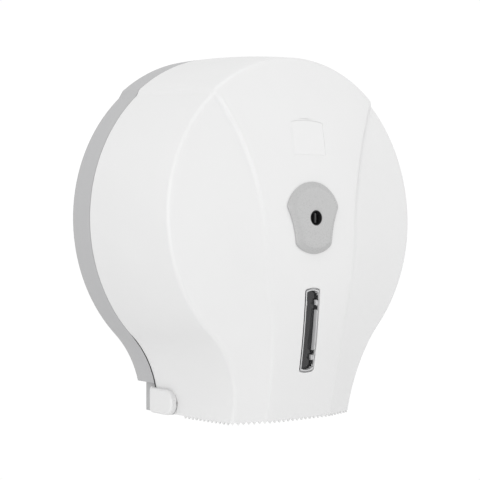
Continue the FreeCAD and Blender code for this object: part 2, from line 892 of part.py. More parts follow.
def lock_housing():
    half = lock_flange_half_height
    ends = lock_flange_half_width
    back = flange_back_depth()
    bend = half - ends
    edges = [
        arc_edge(at(-ends, bend, back), at(0, half, back), at(ends, bend, back)),
        Part.makeLine(at(ends, bend, back), at(ends, -bend, back)),
        arc_edge(at(ends, -bend, back), at(0, -half, back), at(-ends, -bend, back)),
        Part.makeLine(at(-ends, -bend, back), at(-ends, bend, back)),
    ]
    flange = prism(edges, back, dome_depth).common(dome_form(cover_wall))
    barrel = cylinder(lock_barrel_radius, lock_barrel_back_depth, back + lock_flange_thickness / 2)
    nose_front = dome_depth - dome_drop(0, lock_nose_radius) - lock_nose_gap
    nose = cylinder(lock_nose_radius, back, nose_front)
    body = flange.fuse([barrel, nose])
    wide_from = plug_shoulder_depth - plug_shoulder_gap
    cuts = [
        cylinder(lock_bore_radius, wide_from, dome_depth + overrun),
        cylinder(tail_radius + plug_clearance, lock_barrel_back_depth - overrun, dome_depth),
        cylinder(lock_mouth_radius, plug_front_depth, dome_depth + overrun),
    ]
    for height in (post_stub_height, -post_stub_height):
        cuts.append(plate_screw_hole(height))
    return body.cut(cuts).removeSplitter()


def slotted_screw(shank, head, head_back, head_height, length, x, z, inward):
    # A screw along the roll axis. inward is 1 for a screw driven from the front towards the
    # wall, and -1 for one driven from inside the cover towards its front.
    if inward > 0:
        head_part = cylinder(head, head_back, head_back + head_height, x, z)
        shank_part = cylinder(shank, head_back - length, head_back, x, z)
        slot_from = head_back + head_height - drive_slot_depth
        slot_to = head_back + head_height + overrun
    else:
        head_part = cylinder(head, head_back - head_height, head_back, x, z)
        shank_part = cylinder(shank, head_back, head_back + length, x, z)
        slot_from = head_back - head_height - overrun
        slot_to = head_back - head_height + drive_slot_depth
    half = drive_slot_width / 2
    slots = [
        block(x - head, x + head, z - half, z + half, slot_from, slot_to),
        block(x - half, x + half, z - head, z + head, slot_from, slot_to),
    ]
    keep = cylinder(head * drive_slot_share, slot_from, slot_to, x, z)
    cross = slots[0].fuse(slots[1]).common(keep)
    return head_part.fuse(shank_part).cut(cross).removeSplitter()


def lock_plate_screws():
    screws = []
    for height in (post_stub_height, -post_stub_height):
        screws.append(
            slotted_screw(
                plate_screw_radius,
                plate_screw_head_radius,
                flange_back_depth(),
                plate_screw_head_height,
                plate_screw_length - 2 * screw_slack,
                0,
                height,
                -1,
            )
        )
    return Part.makeCompound(screws)


def cam_back_depth():
    return cam_front_depth - cam_thickness


def lock_plug():
    head = cylinder(lock_bore_radius - plug_clearance, plug_shoulder_depth, plug_front_depth)
    tail = cylinder(tail_radius, cam_front_depth, plug_shoulder_depth)
    tip = cylinder(tail_tip_radius, cam_back_depth(), cam_front_depth)
    body = head.fuse([tail, tip])
    socket_from = plug_front_depth - plug_socket_depth
    socket = cylinder(plug_socket_radius, socket_from, plug_front_depth + overrun)
    half_width = plug_blade_width / 2
    half_height = plug_blade_height / 2
    back, front = socket_from - overrun, dome_depth + overrun
    blade = block(-half_width, half_width, -half_height, half_height, back, front)
    hole_end = cam_back_depth() + cam_screw_length
    screw_hole = cylinder(cam_screw_radius + screw_slack, cam_back_depth() - overrun, hole_end)
    return body.cut([socket.cut(blade), screw_hole]).removeSplitter()


def stop_washer():
    back = lock_barrel_back_depth - stop_washer_thickness
    return tube(stop_washer_radius, tail_radius + screw_slack, back, lock_barrel_back_depth)


def plug_clip():
    front = lock_barrel_back_depth - stop_washer_thickness
    back = front - clip_thickness
    ring = tube(clip_radius, tail_radius + screw_slack, back, front)
    mouth_half = clip_mouth / 2
    low = -clip_radius - overrun
    mouth = block(-mouth_half, mouth_half, low, 0, back - overrun, front + overrun)
    return ring.cut(mouth)


def lock_cam():
    back = cam_back_depth()
    bar = block(-cam_half_length, cam_half_length, -cam_half_width, cam_half_width, back, cam_front_depth)
    front = cam_front_depth + overrun
    bar = bar.common(cylinder(cam_half_length, back - overrun, front))
    return bar.cut(cylinder(tail_tip_radius + cam_hole_clearance, back - overrun, front))


def cam_screw():
    return slotted_screw(
        cam_screw_radius,
        cam_screw_head_radius,
        cam_back_depth(),
        cam_screw_head_height,
        cam_screw_length - screw_slack,
        0,
        0,
        -1,
    )


def spindle_screw_places():
    places = []
    for number in range(spindle_screw_count):
        turn = math.radians(360 * (number + 0.5) / spindle_screw_count)
        places.append((spindle_screw_circle * math.cos(turn), spindle_screw_circle * math.sin(turn)))
    return places


def post_base_depth():
    return plate_base + seat_height


def spindle_post():
    base = post_base_depth()
    flange = cylinder(post_flange_radius, base, base + post_flange_thickness)
    collar = cylinder(post_collar_radius, base, base + post_flange_thickness + post_collar_height)
    column = cylinder(post_radius, base, post_front_depth)
    body = flange.fuse([collar, column])
    cuts = [cylinder(post_bore, base + post_flange_thickness, post_front_depth + overrun)]
    for x, z in spindle_screw_places():
        cuts.append(cylinder(spindle_screw_radius + screw_slack, base - overrun, post_front_depth, x, z))
    for _, side in sides:
        deep = post_front_depth + strike_thickness - strike_screw_length
        x = side * strike_screw_offset
        cuts.append(cylinder(strike_screw_radius + screw_slack, deep, post_front_depth + overrun, x, 0))
    return body.cut(cuts).removeSplitter()


def spindle_screws():
    screws = []
    for x, z in spindle_screw_places():
        screws.append(
            slotted_screw(
                spindle_screw_radius,
                spindle_screw_head_radius,
                post_base_depth() + post_flange_thickness,
                spindle_screw_head_height,
                spindle_screw_length - screw_slack,
                x,
                z,
                1,
            )
        )
    return Part.makeCompound(screws)


def washer_back_depth():
    return post_base_depth() + post_flange_thickness + post_collar_height


def thrust_washer():
    back = washer_back_depth()
    return tube(washer_radius, post_radius + hub_clearance, back, back + washer_thickness)


def roll_hub():
    back = washer_back_depth() + washer_thickness
    front = post_front_depth - hub_end_gap
    sleeve = cylinder(hub_radius, back, front - hub_lead)
    lead_start = at(0, 0, front - hub_lead)
    lead = Part.makeCone(hub_radius, hub_radius - hub_lead, hub_lead, lead_start, out_of_wall)
    disc = cylinder(hub_disc_radius, back, back + hub_disc_thickness)
    body = sleeve.fuse([lead, disc])
    return body.cut(cylinder(post_radius + hub_clearance, 0, dome_depth)).removeSplitter()


def strike_plate():
    front = post_front_depth + strike_thickness
    disc = cylinder(strike_radius, post_front_depth, front)
    slot = block(
        -strike_slot_half_width,
        strike_slot_half_width,
        -strike_slot_bottom,
        strike_slot_top,
        post_front_depth - overrun,
        front + overrun,
    )
    cuts = [slot]
    for _, side in sides:
        x = side * strike_screw_offset
        back = post_front_depth - overrun
        cuts.append(cylinder(strike_screw_radius + screw_slack, back, front + overrun, x, 0))
    return disc.cut(cuts)


def strike_screws():
    screws = []
    for _, side in sides:
        screws.append(
            slotted_screw(
                strike_screw_radius,
                strike_screw_head_radius,
                post_front_depth + strike_thickness,
                strike_screw_head_height,
                strike_screw_length - screw_slack,
                side * strike_screw_offset,
                0,
                1,
            )
        )
    return Part.makeCompound(screws)


def write(name, shape):
    if not shape.isValid():
        raise ValueError(name + " is not a valid solid")
    shape.exportStep("parts/" + name + ".step")


def main():
    os.makedirs("parts", exist_ok=True)
    write("back_plate", back_plate())
    write("rim_buffers", buffers())
    pin = hinge_pin()
    write("hinge_pin_right", pin)
    write("hinge_pin_left", mirrored(pin))
    write("spindle_post", spindle_post())
    write("spindle_screws", spindle_screws())
    write("thrust_washer", thrust_washer())
    write("roll_hub", roll_hub())
    write("strike_plate", strike_plate())
    write("strike_screws", strike_screws())
    write("front_cover", front_cover())
    write("window_lens", window_lens())
    write("name_badge", name_badge())
    write("lock_plate", lock_plate())
    write("lock_plate_screws", lock_plate_screws())
    write("lock_housing", lock_housing())
    write("lock_plug", lock_plug())
    write("stop_washer", stop_washer())
    write("plug_clip", plug_clip())
    write("lock_cam", lock_cam())
    write("cam_screw", cam_screw())


main()
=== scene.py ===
"""Round wall dispenser for a large paper roll, dressed over its fixed frame."""
import json
import math

import bmesh
import bpy
from bpy.props import FloatProperty, FloatVectorProperty
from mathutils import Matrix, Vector

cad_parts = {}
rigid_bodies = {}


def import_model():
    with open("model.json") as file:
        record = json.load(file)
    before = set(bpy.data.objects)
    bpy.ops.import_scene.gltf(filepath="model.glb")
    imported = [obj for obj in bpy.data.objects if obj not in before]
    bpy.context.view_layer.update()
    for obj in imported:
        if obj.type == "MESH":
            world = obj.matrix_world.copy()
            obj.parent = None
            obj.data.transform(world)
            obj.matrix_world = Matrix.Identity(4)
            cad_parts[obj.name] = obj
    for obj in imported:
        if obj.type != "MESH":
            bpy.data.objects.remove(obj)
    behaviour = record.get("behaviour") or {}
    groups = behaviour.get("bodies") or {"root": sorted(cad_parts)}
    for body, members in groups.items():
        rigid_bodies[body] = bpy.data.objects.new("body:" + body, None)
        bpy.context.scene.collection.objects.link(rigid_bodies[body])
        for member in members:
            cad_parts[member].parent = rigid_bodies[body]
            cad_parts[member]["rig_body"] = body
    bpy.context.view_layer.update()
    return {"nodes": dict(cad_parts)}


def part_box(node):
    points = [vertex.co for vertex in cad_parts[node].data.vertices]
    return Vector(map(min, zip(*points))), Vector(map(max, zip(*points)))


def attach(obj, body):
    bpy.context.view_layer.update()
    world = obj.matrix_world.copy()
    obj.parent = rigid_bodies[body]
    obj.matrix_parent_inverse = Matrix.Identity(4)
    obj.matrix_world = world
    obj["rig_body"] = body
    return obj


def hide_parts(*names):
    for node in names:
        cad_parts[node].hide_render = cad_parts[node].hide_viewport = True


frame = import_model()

bl_info = {
    "name": "Round paper roll dispenser",
    "version": (1, 0, 0),
    "blender": (4, 5, 0),
    "location": "3D View > Sidebar > Dispenser",
    "description": "Builds the visible pieces and finishes of a round wall dispenser",
    "category": "Object",
}

MM = 0.001

# All sizes below are in millimetres, unless their comment says otherwise.

# Degrees from which an edge stays sharp: in copies of the solids, in skins and spun rings, and in
# blocks and the window's insert. A copy's edges are rounded from the last one on.
COPY_SHARP, SKIN_SHARP, BLOCK_SHARP = 28.0, 35.0, 40.0

# Vertices this close are joined: in copies of the solids, and in meshes laid over the cover
COPY_JOIN, SKIN_JOIN = 0.002, 0.02

# The raised band from the top down. Each row holds the height, the band's half width, how far the
# wing lies below the band there, and the wing's slope.
BAND_ROWS = (
    (98.9, 86.0, 2.4, 0.132),
    (88.0, 75.6, 2.4, 0.154),
    (75.0, 68.6, 2.4, 0.175),
    (62.0, 62.0, 2.3, 0.190),
    (35.0, 52.5, 2.0, 0.200),
    (5.0, 46.0, 1.2, 0.210),
    (-25.0, 44.0, 0.6, 0.218),
    (-55.0, 40.0, 0.5, 0.222),
    (-80.0, 35.5, 0.5, 0.224),
    (-110.0, 33.5, 0.5, 0.244),
    (-130.6, 32.8, 0.5, 0.266),
    (-151.5, 32.0, 0.5, 0.288),
    (-171.5, 32.0, 0.5, 0.288),
)

# Height, and half width of the soft ramp between wing and band
RAMP_ROWS = (
    (98.9, 1.8),
    (62.0, 1.7),
    (35.0, 1.6),
    (5.0, 1.5),
    (-25.0, 1.3),
    (-55.0, 1.2),
    (-171.5, 1.2),
)

# Half width of the ramp where the cap's step runs back along the side wall
SIDE_RAMP = 3.4

# Above this height the wing starts no further out than this half width
SHOULDER_HEIGHT, SHOULDER_HALF = 62.0, 62.0

# Spacing of the band's edge points, and how far the cap's side line runs out past the disc
EDGE_PITCH, EDGE_PAST = 4.0, 20.0

# Depth at which the search for the crest starts, and the passes that find it and its corner
CREST_GUESS = 116.0
CREST_PASSES, CORNER_PASSES = 4, 3

# Cells of the cover's skins: half round the outline, up the side, over the crest, to the middle
OUTER_CELLS = (220, 6, 10, 64)
INNER_CELLS = (80, 4, 6, 30)

# An opening is cut only in faces this deep and this far round it, and snaps to vertices this close
FRONT_FROM, CUT_ROOM, CUT_SNAP = 100.0, 3.0, 0.001

# Openings: corners and end bulges, the power by which a bulge fades towards the middle, radius of
# the hole for the lock's nose, and depth of the recess for the badge
WINDOW_CORNER, WINDOW_BULGE = 1.0, 1.2
BADGE_CORNER, BADGE_ARCH = 0.6, 1.6
BULGE_FADE = 6
LOCK_HOLE = 8.0
BADGE_RECESS = 1.0

# Margin cut round each opening, and the rounding of its edge with its steps
WINDOW_EDGE = (3.0, 0.5, 4)
LOCK_EDGE = (2.0, 0.3, 2)
BADGE_EDGE = (2.5, 0.2, 2)

# Hinge bosses: inner face, lowest and highest edge, the base's reach and back edge round the pin,
# the boss's back edge, the front end of both, and how far the boss runs into the base
LUG_INNER = 60.5
LUG_LOW, LUG_HIGH = -152.3, -132.3
LUG_BASE_REACH, LUG_BASE_BACK = 66.3, 13.5
LUG_BOSS_BACK, LUG_FRONT = 19.0, 49.4
LUG_OVERLAP = 3.0

# Edges that run this far along the pin are rounded first, and slack in finding the outer face
LUG_RUN, LUG_SLACK = 2.0, 0.01

# Radius and segments of the bosses' front and rear ends, and of the outer edges
LUG_FRONT_ROUND, LUG_REAR_ROUND = (9.0, 10), (3.5, 6)
LUG_BASE_ROUND, LUG_BOSS_ROUND = (0.8, 5), (2.0, 5)

# Tear teeth: cells of their path, where it starts beside the hinge, their thickness, and how far
# they stand in the foot
TOOTH_CELLS = (40, 10, 60)
TOOTH_FROM_DEPTH, TOOTH_FROM_X = 55.0, 50.0
TOOTH_THICKNESS = 1.7
TOOTH_ROOT = 1.0

# Window insert: gap round it, width of its rim, how far the rim's front lies back, the soft inner
# and outer edges of the front, its back, the pane, and the flange behind the wall
INSERT_GAP, INSERT_RIM = 1.1, 0.9
RIM_FRONT, RIM_SOFT_IN, RIM_SOFT_OUT = 0.35, 0.15, 0.2
INSERT_BACK = 6.8
PANE_THICKNESS = 1.6
FLANGE_GAP, FLANGE_WIDTH, FLANGE_THICKNESS = 0.1, 2.6, 1.2
INSERT_POINTS = 360

# Rings with less drop than this belong to the rim's front, and slack in finding the rim's side
RIM_DEPTH, RIM_SLACK = 1.0, 0.05

# The clips sit this far from the window's ends, each between two notches of this depth
CLIP_NEAR, CLIP_LOW, CLIP_HIGH, CLIP_FAR = 3.0, 8.0, 12.0, 15.5
CLIP_NOTCH = 3.0

# How far a clip stands out from the rim and runs into it, how far its back and its front lie
# behind the front of the cover, and its rounding
CLIP_OUT, CLIP_IN = 1.0, 0.5
CLIP_BACK, CLIP_FRONT = 3.6, 1.2
CLIP_ROUND = (0.3, 2)

# How far the badge's edges grow into the gap round it: less at the arched edge, which keeps a fine
# shadow there
BADGE_TOP_GROW, BADGE_SIDE_GROW = 0.09, 0.12

# Lock plate's outline: its corners, how far it reaches up and down, its hollow sides, and the steps
# of the arcs over the top, down a side and along the foot
SHIELD_SHOULDER = (25.4, 8.4)
SHIELD_FOOT = (17.4, -20.1)
SHIELD_TOP, SHIELD_BOTTOM = 27.1, -26.9
SHIELD_WAIST = 1.6
TOP_STEPS, SIDE_STEPS, FOOT_STEPS = 48, 24, 32

# Softening of the outline's corners: its reach, how much that grows for each millimetre moved in,
# and its passes, one more for each millimetre moved in
SOFT_REACH, SOFT_GROWTH, SOFT_PASSES = 2.0, 0.6, 2

# Section of the plate's edge, which has a shadow groove at its foot: share of the bevel's width
# moved in, share of the rise gone up
SHIELD_SECTION = (
    (0.25, 0.0),
    (0.25, 0.14),
    (0.0, 0.16),
    (0.0, 0.2),
    (0.02, 0.24),
    (0.07, 0.29),
    (0.48, 0.63),
    (0.9, 0.96),
    (0.96, 0.99),
    (1.0, 1.0),
)

# Keyhole's rounded edge as (grow, drop), its points, which bridge to the outline without crossing
# faces, and the cuts that let the crown follow the dome
KEYHOLE_EDGE = ((0.3, 0.0), (0.09, 0.09), (0.0, 0.3))
KEYHOLE_POINTS = 96
CROWN_CUTS = 4

# Tubes behind the lock plate that take its screws
STUB_RADIUS, STUB_BORE = 3.0, 1.3
STUB_HEIGHT = 17.0
STUB_SINK = 0.4
STUB_STEPS = 32

# Black mouth that lines the keyhole, and the key bar that stands in the plug's socket
MOUTH_INNER, MOUTH_OUTER, MOUTH_STEPS = 5.25, 5.62, 64
MOUTH_BACK, MOUTH_FRONT = 133.2, 137.7
BAR_HALF_WIDTH, BAR_HALF_HEIGHT = 0.9, 3.7
BAR_BACK, BAR_FRONT = 127.0, 136.6
BAR_ROUND = (0.25, 2)

# Slack in finding the back plate's side wall, its outer face, and the steps in it (degrees)
WALL_SLACK, FACE_SLACK, STEP_SLACK = 0.3, 0.15, 0.1

# Play between the lock's turning stop washer and its housing
WASHER_PLAY = 0.02

# Rounding of the thrust washer's and the hub's edges
WASHER_ROUND, HUB_ROUND = 0.15, 0.3

# Steel pieces and the rounding of their edges
STEEL_PIECES = (
    ("hinge_pin_left", 0.3),
    ("hinge_pin_right", 0.3),
    ("spindle_screws", 0.15),
    ("strike_plate", 0.2),
    ("strike_screws", 0.1),
    ("lock_plate_screws", 0.15),
    ("stop_washer", 0.1),
    ("plug_clip", 0.1),
    ("lock_cam", 0.2),
    ("cam_screw", 0.1),
)

# Size of the faint clouds that the flow of the melt leaves in a moulded wall, and their darkness
FLOW_CLOUD, CLOUD_SHADE = 60.0, 0.965

# Moulded plastics and rubber: name, roughness, its spread, width and height of the grain, and
# index of refraction
MOULDINGS = {
    # Satin moulded ABS: clean neutral white with a soft, broad sheen
    "cover": ("white ABS, satin moulded", 0.42, 0.05, 0.9, 0.02, 1.53),
    # The same ABS off a smoother part of the mould: a little glossier than the cover
    "badge": ("white ABS, smooth moulded", 0.34, 0.04, 0.9, 0.01, 1.53),
    # Fine textured ABS: even mid grey, nearly matt
    "back_plate": ("grey ABS, fine texture moulded", 0.5, 0.06, 0.8, 0.03, 1.53),
    # Satin moulded ABS: light neutral grey whose bevel catches a soft line of light
    "lock_plate": ("light grey ABS, satin moulded", 0.28, 0.05, 0.8, 0.012, 1.53),
    # Moulded acetal: waxy near-black that reads as a dark hole in the plate
    "lock": ("black acetal, moulded", 0.42, 0.06, 0.7, 0.02, 1.48),
    # Moulded polypropylene: soft grey, waxy rather than glossy
    "hub": ("grey polypropylene, moulded", 0.5, 0.06, 0.8, 0.03, 1.49),
    # Uncoloured nylon: creamy and matt
    "washer": ("natural nylon, moulded", 0.55, 0.05, 0.7, 0.02, 1.53),
    # Pressed rubber: black and dull with a dusty surface
    "rubber": ("black rubber, pressed", 0.8, 0.05, 0.6, 0.04, 1.5),
}

# Size of the zinc's crystal patches, and the darkness between them
CRYSTAL, CRYSTAL_SHADE = 2.5, 0.72

# Window insert: size of its haze, how much light its rim and its pane let through, and the place of
#  the smoked plastic among its materials, which also paints shade on the rim's left side and in the
#  notches
HAZE = 8.0
RIM_PASSES, PANE_PASSES = 0.05, 0.45
SMOKED_PANE_AND_SHADE = 1

# Floor: its radius in metres, its points, and how many patches of mottle lie in a metre
FLOOR_RADIUS, FLOOR_POINTS = 2.2, 96
FLOOR_MOTTLE = 60.0

# Between these cosines of the angle from straight ahead the room goes from its own to the
# backdrop's light
ROOM_FADE = (-0.3, 0.7)

# Soft lights of the studio: name, place and width in metres, and power in watts
LIGHTS = (
    ("key", (-1.6, -1.8, 0.1), 1.6, 15.3),
    ("side fill", (-2.2, -0.6, 0.3), 1.6, 8.2),
    ("top fill", (-0.3, -0.6, 2.4), 1.6, 11.9),
    ("far fill", (1.6, -1.6, 0.4), 1.6, 8.3),
)


def linear(hex_code):
    """Linear colour of an sRGB hex value."""
    parts = [int(hex_code[index : index + 2], 16) / 255 for index in (1, 3, 5)]
    return tuple(
        value / 12.92 if value <= 0.04045 else ((value + 0.055) / 1.055) ** 2.4 for value in parts
    )


def number(name, description, default, **kind):
    """A number for the sidebar, with its unit or subtype if it has one."""
    return FloatProperty(name=name, description=description, default=default, **kind)


def length(name, description, default):
    """A length in metres for the sidebar."""
    return number(name, description, default, unit="LENGTH")


def paint(name, description, hex_code):
    """A colour for the sidebar."""
    return FloatVectorProperty(
        name=name, description=description, default=linear(hex_code), subtype="COLOR"
    )


class DispenserCoverSizes(bpy.types.PropertyGroup):
    """Sizes of the cover"""

    plate_radius: length("Disc radius", "Radius of the round outline at the wall", 0.128)
    neck_half_width: length(
        "Neck half width", "Half the width of the straight neck at the wall", 0.066
    )
    neck_arc_radius: length(
        "Neck arc radius", "Radius of the hollow arcs that draw the disc in to the neck", 0.08
    )
    bottom_drop: length("Drop of the foot", "Height of the bottom edge below the roll axis", 0.1515)
    wall: length("Wall", "Thickness of the moulded wall", 0.0025)
    side_crown_radius: length(
        "Side crown radius", "Radius of the side wall's lean from the wall to the front", 0.79
    )
    cap_step: length("Cap step", "How far the cap stands out past the wings", 0.0022)
    back_depth: length("Back edge", "Depth of the cover's back edge from the wall", 0.0242)
    dome_depth: length("Dome depth", "Depth of the front's deepest point", 0.1352)
    dome_centre_drop: length(
        "Dome centre drop", "Height of the deepest point below the roll axis", 0.02
    )
    dome_radius_up: length("Dome radius up", "Radius of the front from top to bottom", 0.537)
    dome_radius_across: length("Dome radius across", "Radius of the front from side to side", 0.385)
    crest_round: length(
        "Crest rounding", "Reach of the rounding between side wall and front", 0.0027
    )
    cap_half_angle: number(
        "Cap half angle",
        "Angle from upright to the side of the cap",
        math.radians(41),
        subtype="ANGLE",
    )
    tooth_pitch: length("Tooth pitch", "Spacing of the teeth along the tear edge", 0.0043)
    tooth_height: length("Tooth height", "How far the teeth stand below the foot", 0.002)


class DispenserFittingSizes(bpy.types.PropertyGroup):
    """Sizes of the window, badge, lock plate and hinge bosses"""

    window_width: length("Window width", "Width of the sight window's opening", 0.0148)
    window_length: length("Window length", "Height of the sight window's opening", 0.0618)
    window_drop: length("Window drop", "Height of the window's middle below the roll axis", 0.0845)
    pane_setback: length("Pane setback", "How far the dark pane lies behind the front", 0.0038)
    badge_width: length("Badge width", "Width of the shallow recess above the lock", 0.031)
    badge_length: length("Badge height", "Height of the recess without its arched top", 0.0245)
    badge_height: length(
        "Badge place", "Height of the recess's middle above the roll axis", 0.05975
    )
    shield_rise: length(
        "Lock plate rise", "How far the lock plate stands proud of the cover", 0.003
    )
    shield_bevel: length("Lock plate bevel", "Width of the soft bevel round the lock plate", 0.0044)
    keyhole_radius: length("Keyhole radius", "Radius of the hole in the lock plate", 0.0057)
    lug_reach: length(
        "Hinge boss reach", "Distance of a hinge boss's outer face from the middle", 0.0706
    )


class DispenserColours(bpy.types.PropertyGroup):
    """Colours of the pieces"""

    cover: paint("Cover", "Colour of the cover", "#D0D0D0")
    badge: paint("Badge", "Colour of the blank badge", "#D0D0D0")
    back_plate: paint("Back plate", "Colour of the back plate", "#A5A5A6")
    lock_plate: paint("Lock plate", "Colour of the plate round the keyhole", "#A6A6A6")
    lock: paint("Lock", "Colour of the lock's housing and plug", "#222223")
    rim: paint("Window rim", "Colour of the clear rim of the window", "#BCBCBD")
    pane: paint("Window pane", "Colour of the smoked pane", "#303032")
    hub: paint("Hub and post", "Colour of the roll hub and its post", "#A6A7A8")
    washer: paint("Washer", "Colour of the thrust washer", "#DEDBD0")
    rubber: paint("Buffers", "Colour of the rubber buffers", "#2A2A2B")
    steel: paint("Steel", "Colour of the zinc-plated steel", "#C3C5C7")


class DispenserStageSizes(bpy.types.PropertyGroup):
    """Camera, floor and room"""

    camera_distance: length(
        "Camera distance", "Distance from the roll axis at the wall to the camera", 1.0935
    )
    camera_angle: number(
        "Camera angle",
        "Angle of the view from straight in front",
        math.radians(38),
        subtype="ANGLE",
    )
    camera_height: length("Camera height", "Height of the camera above the roll axis", -0.0053)
    camera_aside: length(
        "Camera aside", "How far the camera stands aside of the line to the roll axis", 0.0277
    )
    lens: number("Lens", "Focal length of the camera in millimetres", 98.85, unit="CAMERA")
    shift: number("Camera shift", "Upward shift that frames the photograph", -0.03125)
    floor_drop: length("Floor drop", "Height of the floor below the roll axis", 0.8)
    room_behind: number(
        "Backdrop light", "Strength of the white backdrop behind the dispenser", 1.02
    )
    room_front: number("Room light", "Strength of the even light from the camera's side", 0.91)


def curve_value(rows, height, column):
    """Smooth value of one column at a height, from rows that run downwards."""
    if height >= rows[0][0]:
        return rows[0][column]
    if height <= rows[-1][0]:
        return rows[-1][column]
    index = 0
    while rows[index + 1][0] > height:
        index += 1
    high, low = rows[index], rows[index + 1]
    above = rows[max(index - 1, 0)]
    below = rows[min(index + 2, len(rows) - 1)]
    span = low[0] - high[0]
    t = (height - high[0]) / span
    slope_high = (low[column] - above[column]) / (low[0] - above[0]) * span
    slope_low = (below[column] - high[column]) / (below[0] - high[0]) * span
    return (
        high[column] * (2 * t**3 - 3 * t**2 + 1)
        + slope_high * (t**3 - 2 * t**2 + t)
        + low[column] * (3 * t**2 - 2 * t**3)
        + slope_low * (t**3 - t**2)
    )


def soft_step(t):
    """0 below -1, 1 above 1, straight between with rounded ends."""
    t = min(max(t, -1.0), 1.0)
    return 0.5 + 0.5 * math.sin(t * math.pi / 2)


def point(x, z, depth):
    """A place in metres from millimetres, with depth counted out from the wall."""
    return Vector((x * MM, -depth * MM, z * MM))


def each_once(items):
    """The items in their order, without repeats."""
    return list(dict.fromkeys(items))


def only_verts(made):
    """The vertices among the results of a bmesh operator."""
    return [item for item in made if isinstance(item, bmesh.types.BMVert)]


